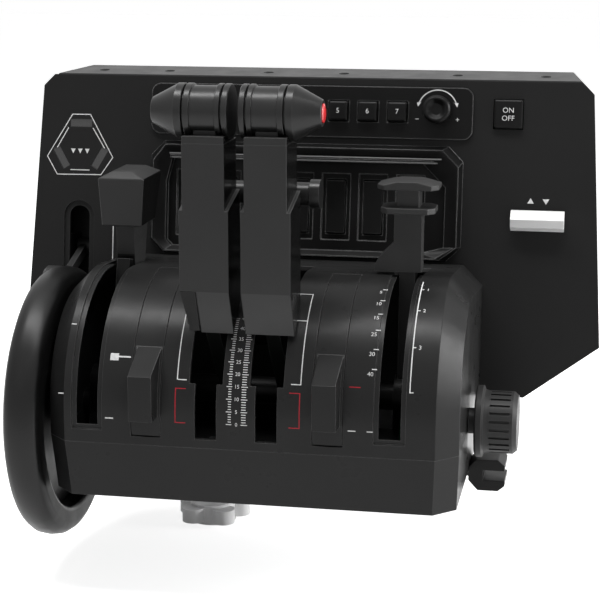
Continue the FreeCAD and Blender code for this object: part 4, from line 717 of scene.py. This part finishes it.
class QUADRANT_OT_clamp(PieceOperator):
    """The desk clamp, its screw, jaw disc and star knob"""

    bl_idname = "quadrant.clamp"
    bl_label = "Desk clamp"

    def execute(self, context):
        self.start(context)
        dress("clamp_bracket", self.of("steel"), self.detail.soft_edge)
        dress("clamp_screw", self.of("steel"), self.detail.fine_edge)
        dress("clamp_pad", self.of("rubber"), self.detail.soft_edge)
        dress("star_knob", self.of("star"), self.detail.key_edge * 1.6, 3)
        return {"FINISHED"}


class QUADRANT_OT_inner_parts(PieceOperator):
    """The shaft, bearings, friction stack, boards, screws and socket inside"""

    bl_idname = "quadrant.inner_parts"
    bl_label = "Inner parts"

    def execute(self, context):
        self.start(context)
        finishes = {
            "lever_shaft": "black", "shaft_bearings": "black", "friction_stack": "black", "panel_brackets": "black",
            "main_board": "board", "panel_board": "board", "screws": "steel", "usb_socket": "steel",
        }
        for node, name in finishes.items():
            mesh = frame["nodes"][node].data
            mesh.materials.clear()
            mesh.materials.append(self.of(name))
        return {"FINISHED"}


class QUADRANT_OT_drum_marks(PieceOperator):
    """The numbers, ticks, brackets and lines printed on the drum"""

    bl_idname = "quadrant.drum_marks"
    bl_label = "Drum markings"

    def execute(self, context):
        self.start(context)
        rise = self.detail.print_rise / MM
        line = self.detail.line / MM
        high = self.detail.number / MM
        thin = degrees(line / DRUM)
        bm = bmesh.new()

        def scale(step):
            """Where a step of the throttle scale stands; the steps close up towards the crown."""
            return -0.4 + step * (1.135 - 0.0012 * step)

        def tick(x0, x1, angle, half=thin / 2):
            band(bm, x0, x1, angle - half, angle + half, rise)

        for step in range(46):
            long = step % 5 == 0
            tick(-5.3 if long else -4.2, -2.2 if long else -2.5, scale(step), thin * 0.42)
            tick(3.0 if long else 3.3, 6.6 if long else 5.8, scale(step), thin * 0.42)
        for step in range(0, 50, 5):
            number(bm, str(step), high * 0.86, drum_at(0.45, scale(min(step, 46)), rise / 2), rise)
        # the idle to full line at the left of the left throttle
        band(bm, -33.0 - line, -33.0, 18.4, 66.0, rise)
        tick(-33.0, -28.0, 18.4)
        # the line and open box at the right of the right throttle
        band(bm, 35.6, 35.6 + line, 18.6, 65.0, rise)
        tick(30.4, 36.0, 18.6)
        tick(28.2, 36.2, 48.5)
        band(bm, 28.4, 28.4 + line, 51.0, 65.0, rise)
        tick(28.4, 36.2, 65.0)
        # the detent block beside the speedbrake slot and the end mark below it
        band(bm, -72.5, -67.7, 25.5, 28.7, rise)
        tick(-67.7, -60.8, 27.3, thin * 0.8)
        tick(-74.2, -69.5, -0.3, thin * 0.7)
        # the two ticks at the left of the outer slot
        tick(-101.2, -98.2, 9.8)
        tick(-97.9, -94.9, 41.8)
        # the flap lever's scale
        for text, angle in (("40", 24.6), ("30", 33.6), ("25", 43.0), ("15", 51.8), ("10", 60.3), ("5", 68.6)):
            number(bm, text, high, drum_at(73.6, angle, rise / 2), rise)
            band(bm, 74.3, 77.0, angle + 2.0, angle + 2.0 + thin, rise)
        tick(62.3, 66.7, -0.4)
        tick(72.8, 76.1, -0.4)
        band(bm, 95.3, 95.3 + line * 1.1, 17.2, 80.0, rise)
        for text, angle in (("1", 72.2), ("2", 57.0), ("3", 37.5)):
            number(bm, text, high, drum_at(99.5, angle, rise / 2), rise)
            tick(95.8, 97.3, angle)
        band(bm, 95.8, 97.6, 17.3, 17.3 + thin, rise)
        settle(bm, "white_drum_marks", self.of("white_paint"), "housing")
        # the red brackets beside the throttle slots and the dash over the right cover
        bm = bmesh.new()
        brackets = ((-34.0, -34.0, -28.5, -0.7, 14.5), (35.6, 30.0, 35.6, -0.5, 14.8))
        for upright, _, _, low, top in brackets:
            band(bm, upright - line / 2, upright + line / 2, low, top, rise)
        for _, x0, x1, low, top in brackets:
            tick(x0 - line / 2, x1 + line / 2, low)
            tick(x0 - line / 2, x1 + line / 2, top)
        tick(62.9 - line / 2, 68.4 + line / 2, 18.7)
        settle(bm, "red_drum_marks", self.of("red_paint"), "housing")
        return {"FINISHED"}


class QUADRANT_OT_panel_marks(PieceOperator):
    """The outlines, arrows and figures printed on the panel and its keys"""

    bl_idname = "quadrant.panel_marks"
    bl_label = "Panel markings"

    def execute(self, context):
        self.start(context)
        rise = self.detail.print_rise / MM
        line = self.detail.line / MM
        bm = bmesh.new()

        def lift(height):
            """How far up the leaning face a height over the shaft is."""
            return (height - PANEL_OVER_SHAFT) / cos(PANEL_LEAN)

        face = panel_at(0, 0, rise / 2)
        outline = [(-140, 150), (-128.3, 150), (-113.2, 123.6), (-120.7, 112.7), (-149.5, 112.4), (-156.2, 123.6)]
        outline = [(x, lift(z)) for x, z in outline]
        for start, end in zip(outline, outline[1:] + outline[:1]):
            bar(bm, face, start, end, line, rise)
        windows = (
            ((-142.6, 141.4), (-149.6, 129.4)), ((-126.3, 141.4), (-118.8, 129.4)), ((-140.6, 115.4), (-128.6, 115.4)),
        )
        for start, end in windows:
            bar(bm, face, (start[0], lift(start[1])), (end[0], lift(end[1])), line, rise)
        for i in range(3):
            x = -139.2 + 4.6 * i
            triangle(bm, face, [(x - 1.5, lift(128.6)), (x + 1.5, lift(128.6)), (x, lift(125.6))], rise)
        bar(bm, face, (-112.0, lift(53.7)), (-112.0, lift(82.2)), line, rise)
        # arrows over the dial: an arc with a head at each end
        plate = panel_at(91.3, 88.0, PLATE_RISE + rise / 2)
        arc = bmesh.new()
        half = rise / 2
        section = ((11.6, -half), (12.3, -half), (12.3, half), (11.6, half))
        first = [arc.verts.new((r * MM, 0, z * MM)) for r, z in section]
        cap = arc.faces.new(first)
        bmesh.ops.rotate(arc, verts=first, cent=(0, 0, 0), matrix=Matrix.Rotation(radians(18), 3, "Z"))
        bmesh.ops.spin(
            arc, geom=[cap] + cap.edges[:] + first, cent=(0, 0, 0), axis=(0, 0, 1), dvec=(0, 0, 0),
            angle=radians(144), steps=28, use_merge=False,
        )
        bmesh.ops.transform(arc, matrix=plate, verts=arc.verts[:])
        held = bpy.data.meshes.new("dial_arc")
        arc.to_mesh(held)
        arc.free()
        bm.from_mesh(held)
        bpy.data.meshes.remove(held)
        for out in (-1, 1):
            x, z = out * 12.0 * cos(radians(18)), 12.0 * sin(radians(18))
            triangle(bm, plate, [(x - 1.3, z + 0.6), (x + 1.3, z + 0.6), (x + out * 0.5, z - 2.0)], rise)
        number(bm, "−", 3.4, panel_at(79.0, 82.0, PLATE_RISE + rise / 2), rise)
        number(bm, "+", 3.4, panel_at(103.6, 82.0, PLATE_RISE + rise / 2), rise)
        # up and down arrows over the flap paddle
        above = panel_at(153.9, 34.0, rise / 2)
        triangle(bm, above, [(-6.6, -1.2), (-2.6, -1.2), (-4.6, 2.0)], rise)
        triangle(bm, above, [(2.6, 1.6), (6.6, 1.6), (4.6, -1.6)], rise)
        settle(bm, "white_panel_marks", self.of("white_paint"), "housing")
        for i in range(1, 8):
            node = "autopilot_key_%d" % i
            low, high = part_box(node)
            bm = bmesh.new()
            number(bm, str(i), 3.2, panel_at((low[0] + high[0]) / 2 / MM, 86.2, front_of(node) + rise / 2), rise)
            settle(bm, "key_figure_%d" % i, self.of("white_paint"), NODE_BODY[node])
        low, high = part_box("large_key")
        bm = bmesh.new()
        spot = panel_at((low[0] + high[0]) / 2 / MM, 86.0, front_of("large_key") + rise / 2)
        number(bm, "ON", 3.3, spot @ Matrix.Translation((0, 2.4 * MM, 0)), rise)
        number(bm, "OFF", 3.3, spot @ Matrix.Translation((0, -2.4 * MM, 0)), rise)
        settle(bm, "large_key_figures", self.of("white_paint"), NODE_BODY["large_key"])
        return {"FINISHED"}


class QUADRANT_OT_stage(PieceOperator):
    """The pale floor, the studio lamps, the white surroundings and the camera"""

    bl_idname = "quadrant.stage"
    bl_label = "Studio"

    def execute(self, context):
        self.start(context)
        scene = context.scene
        light = scene.quadrant_stage
        bm = bmesh.new()
        level = Matrix.Translation((0, 0, CAD_BOX[0][2] - FLOOR_GAP))
        bmesh.ops.create_grid(bm, x_segments=1, y_segments=1, size=FLOOR_HALF, matrix=level)
        mesh = bpy.data.meshes.new("studio_floor")
        bm.to_mesh(mesh)
        bm.free()
        floor = bpy.data.objects.new("studio_floor", mesh)
        scene.collection.objects.link(floor)
        made, tree, shader = nodes_of("studio_floor")[:3]
        shader.inputs["Base Color"].default_value = (0.82, 0.82, 0.82, 1)
        shader.inputs["Roughness"].default_value = 0.9
        seen = background_seen(tree)
        glow = tree.nodes.new("ShaderNodeMath")
        glow.operation = "MULTIPLY"
        glow.inputs[1].default_value = FLOOR_GLOW
        tree.links.new(seen, glow.inputs[0])
        shader.inputs["Emission Color"].default_value = (1, 1, 1, 1)
        tree.links.new(glow.outputs["Value"], shader.inputs["Emission Strength"])
        mesh.materials.append(made)
        lamps = (
            ("overhead_lamp", (-0.05, -0.34, 1.50), 1.7, 0.34, light.overhead),
            ("side_lamp", (1.30, 0.10, 0.42), 0.5, 0.8, light.side),
            ("front_lamp", (-0.55, -1.30, 0.95), 1.1, 0.8, light.front),
        )
        for name, spot, length, width, power in lamps:
            data = bpy.data.lights.new(name, "AREA")
            data.shape = "RECTANGLE"
            data.size = length
            data.size_y = width
            data.energy = power
            lamp = bpy.data.objects.new(name, data)
            lamp.location = spot
            lamp.rotation_euler = (LAMP_AIM - Vector(spot)).to_track_quat("-Z", "Y").to_euler()
            scene.collection.objects.link(lamp)
        world = bpy.data.worlds.new("studio")
        scene.world = world
        world.use_nodes = True
        tree = world.node_tree
        back = tree.nodes["Background"]
        back.inputs["Color"].default_value = (1, 1, 1, 1)
        seen = background_seen(tree)
        level = tree.nodes.new("ShaderNodeMapRange")
        level.inputs["To Min"].default_value = light.ambient
        level.inputs["To Max"].default_value = 1.0
        tree.links.new(seen, level.inputs["Value"])
        tree.links.new(level.outputs["Result"], back.inputs["Strength"])
        lens = bpy.data.cameras.new("studio_camera")
        lens.lens = CAMERA_LENS
        lens.sensor_width = CAMERA_SENSOR
        camera = bpy.data.objects.new("studio_camera", lens)
        camera.location = CAMERA_SPOT
        camera.rotation_euler = CAMERA_TURN
        scene.collection.objects.link(camera)
        scene.camera = camera
        scene.view_settings.view_transform = "Standard"
        return {"FINISHED"}


STEPS = (
    QUADRANT_OT_housing, QUADRANT_OT_covers, QUADRANT_OT_arms, QUADRANT_OT_handles, QUADRANT_OT_side_levers,
    QUADRANT_OT_trim_wheel, QUADRANT_OT_tension_knob, QUADRANT_OT_panel, QUADRANT_OT_switches, QUADRANT_OT_gear,
    QUADRANT_OT_clamp, QUADRANT_OT_inner_parts, QUADRANT_OT_drum_marks, QUADRANT_OT_panel_marks, QUADRANT_OT_stage,
)


class QUADRANT_PT_sidebar(bpy.types.Panel):
    bl_label = "Throttle Quadrant"
    bl_idname = "QUADRANT_PT_sidebar"
    bl_space_type = "VIEW_3D"
    bl_region_type = "UI"
    bl_category = "Quadrant"

    def draw(self, context):
        column = self.layout.column()
        for step in STEPS:
            column.operator(step.bl_idname, text=step.bl_label)
        for group in (context.scene.quadrant_finish, context.scene.quadrant_detail, context.scene.quadrant_stage):
            for name in group.__annotations__:
                column.prop(group, name)


GROUPS = (("quadrant_finish", QuadrantFinish), ("quadrant_detail", QuadrantDetail), ("quadrant_stage", QuadrantStage))


def register():
    for name, group in GROUPS:
        bpy.utils.register_class(group)
        setattr(bpy.types.Scene, name, PointerProperty(type=group))
    for step in STEPS:
        bpy.utils.register_class(step)
    bpy.utils.register_class(QUADRANT_PT_sidebar)


def unregister():
    bpy.utils.unregister_class(QUADRANT_PT_sidebar)
    for step in reversed(STEPS):
        bpy.utils.unregister_class(step)
    for name, group in reversed(GROUPS):
        delattr(bpy.types.Scene, name)
        bpy.utils.unregister_class(group)


def main():
    register()
    for step in STEPS:
        group, name = step.bl_idname.split(".")
        getattr(getattr(bpy.ops, group), name)()


if __name__ == "__main__":
    main()
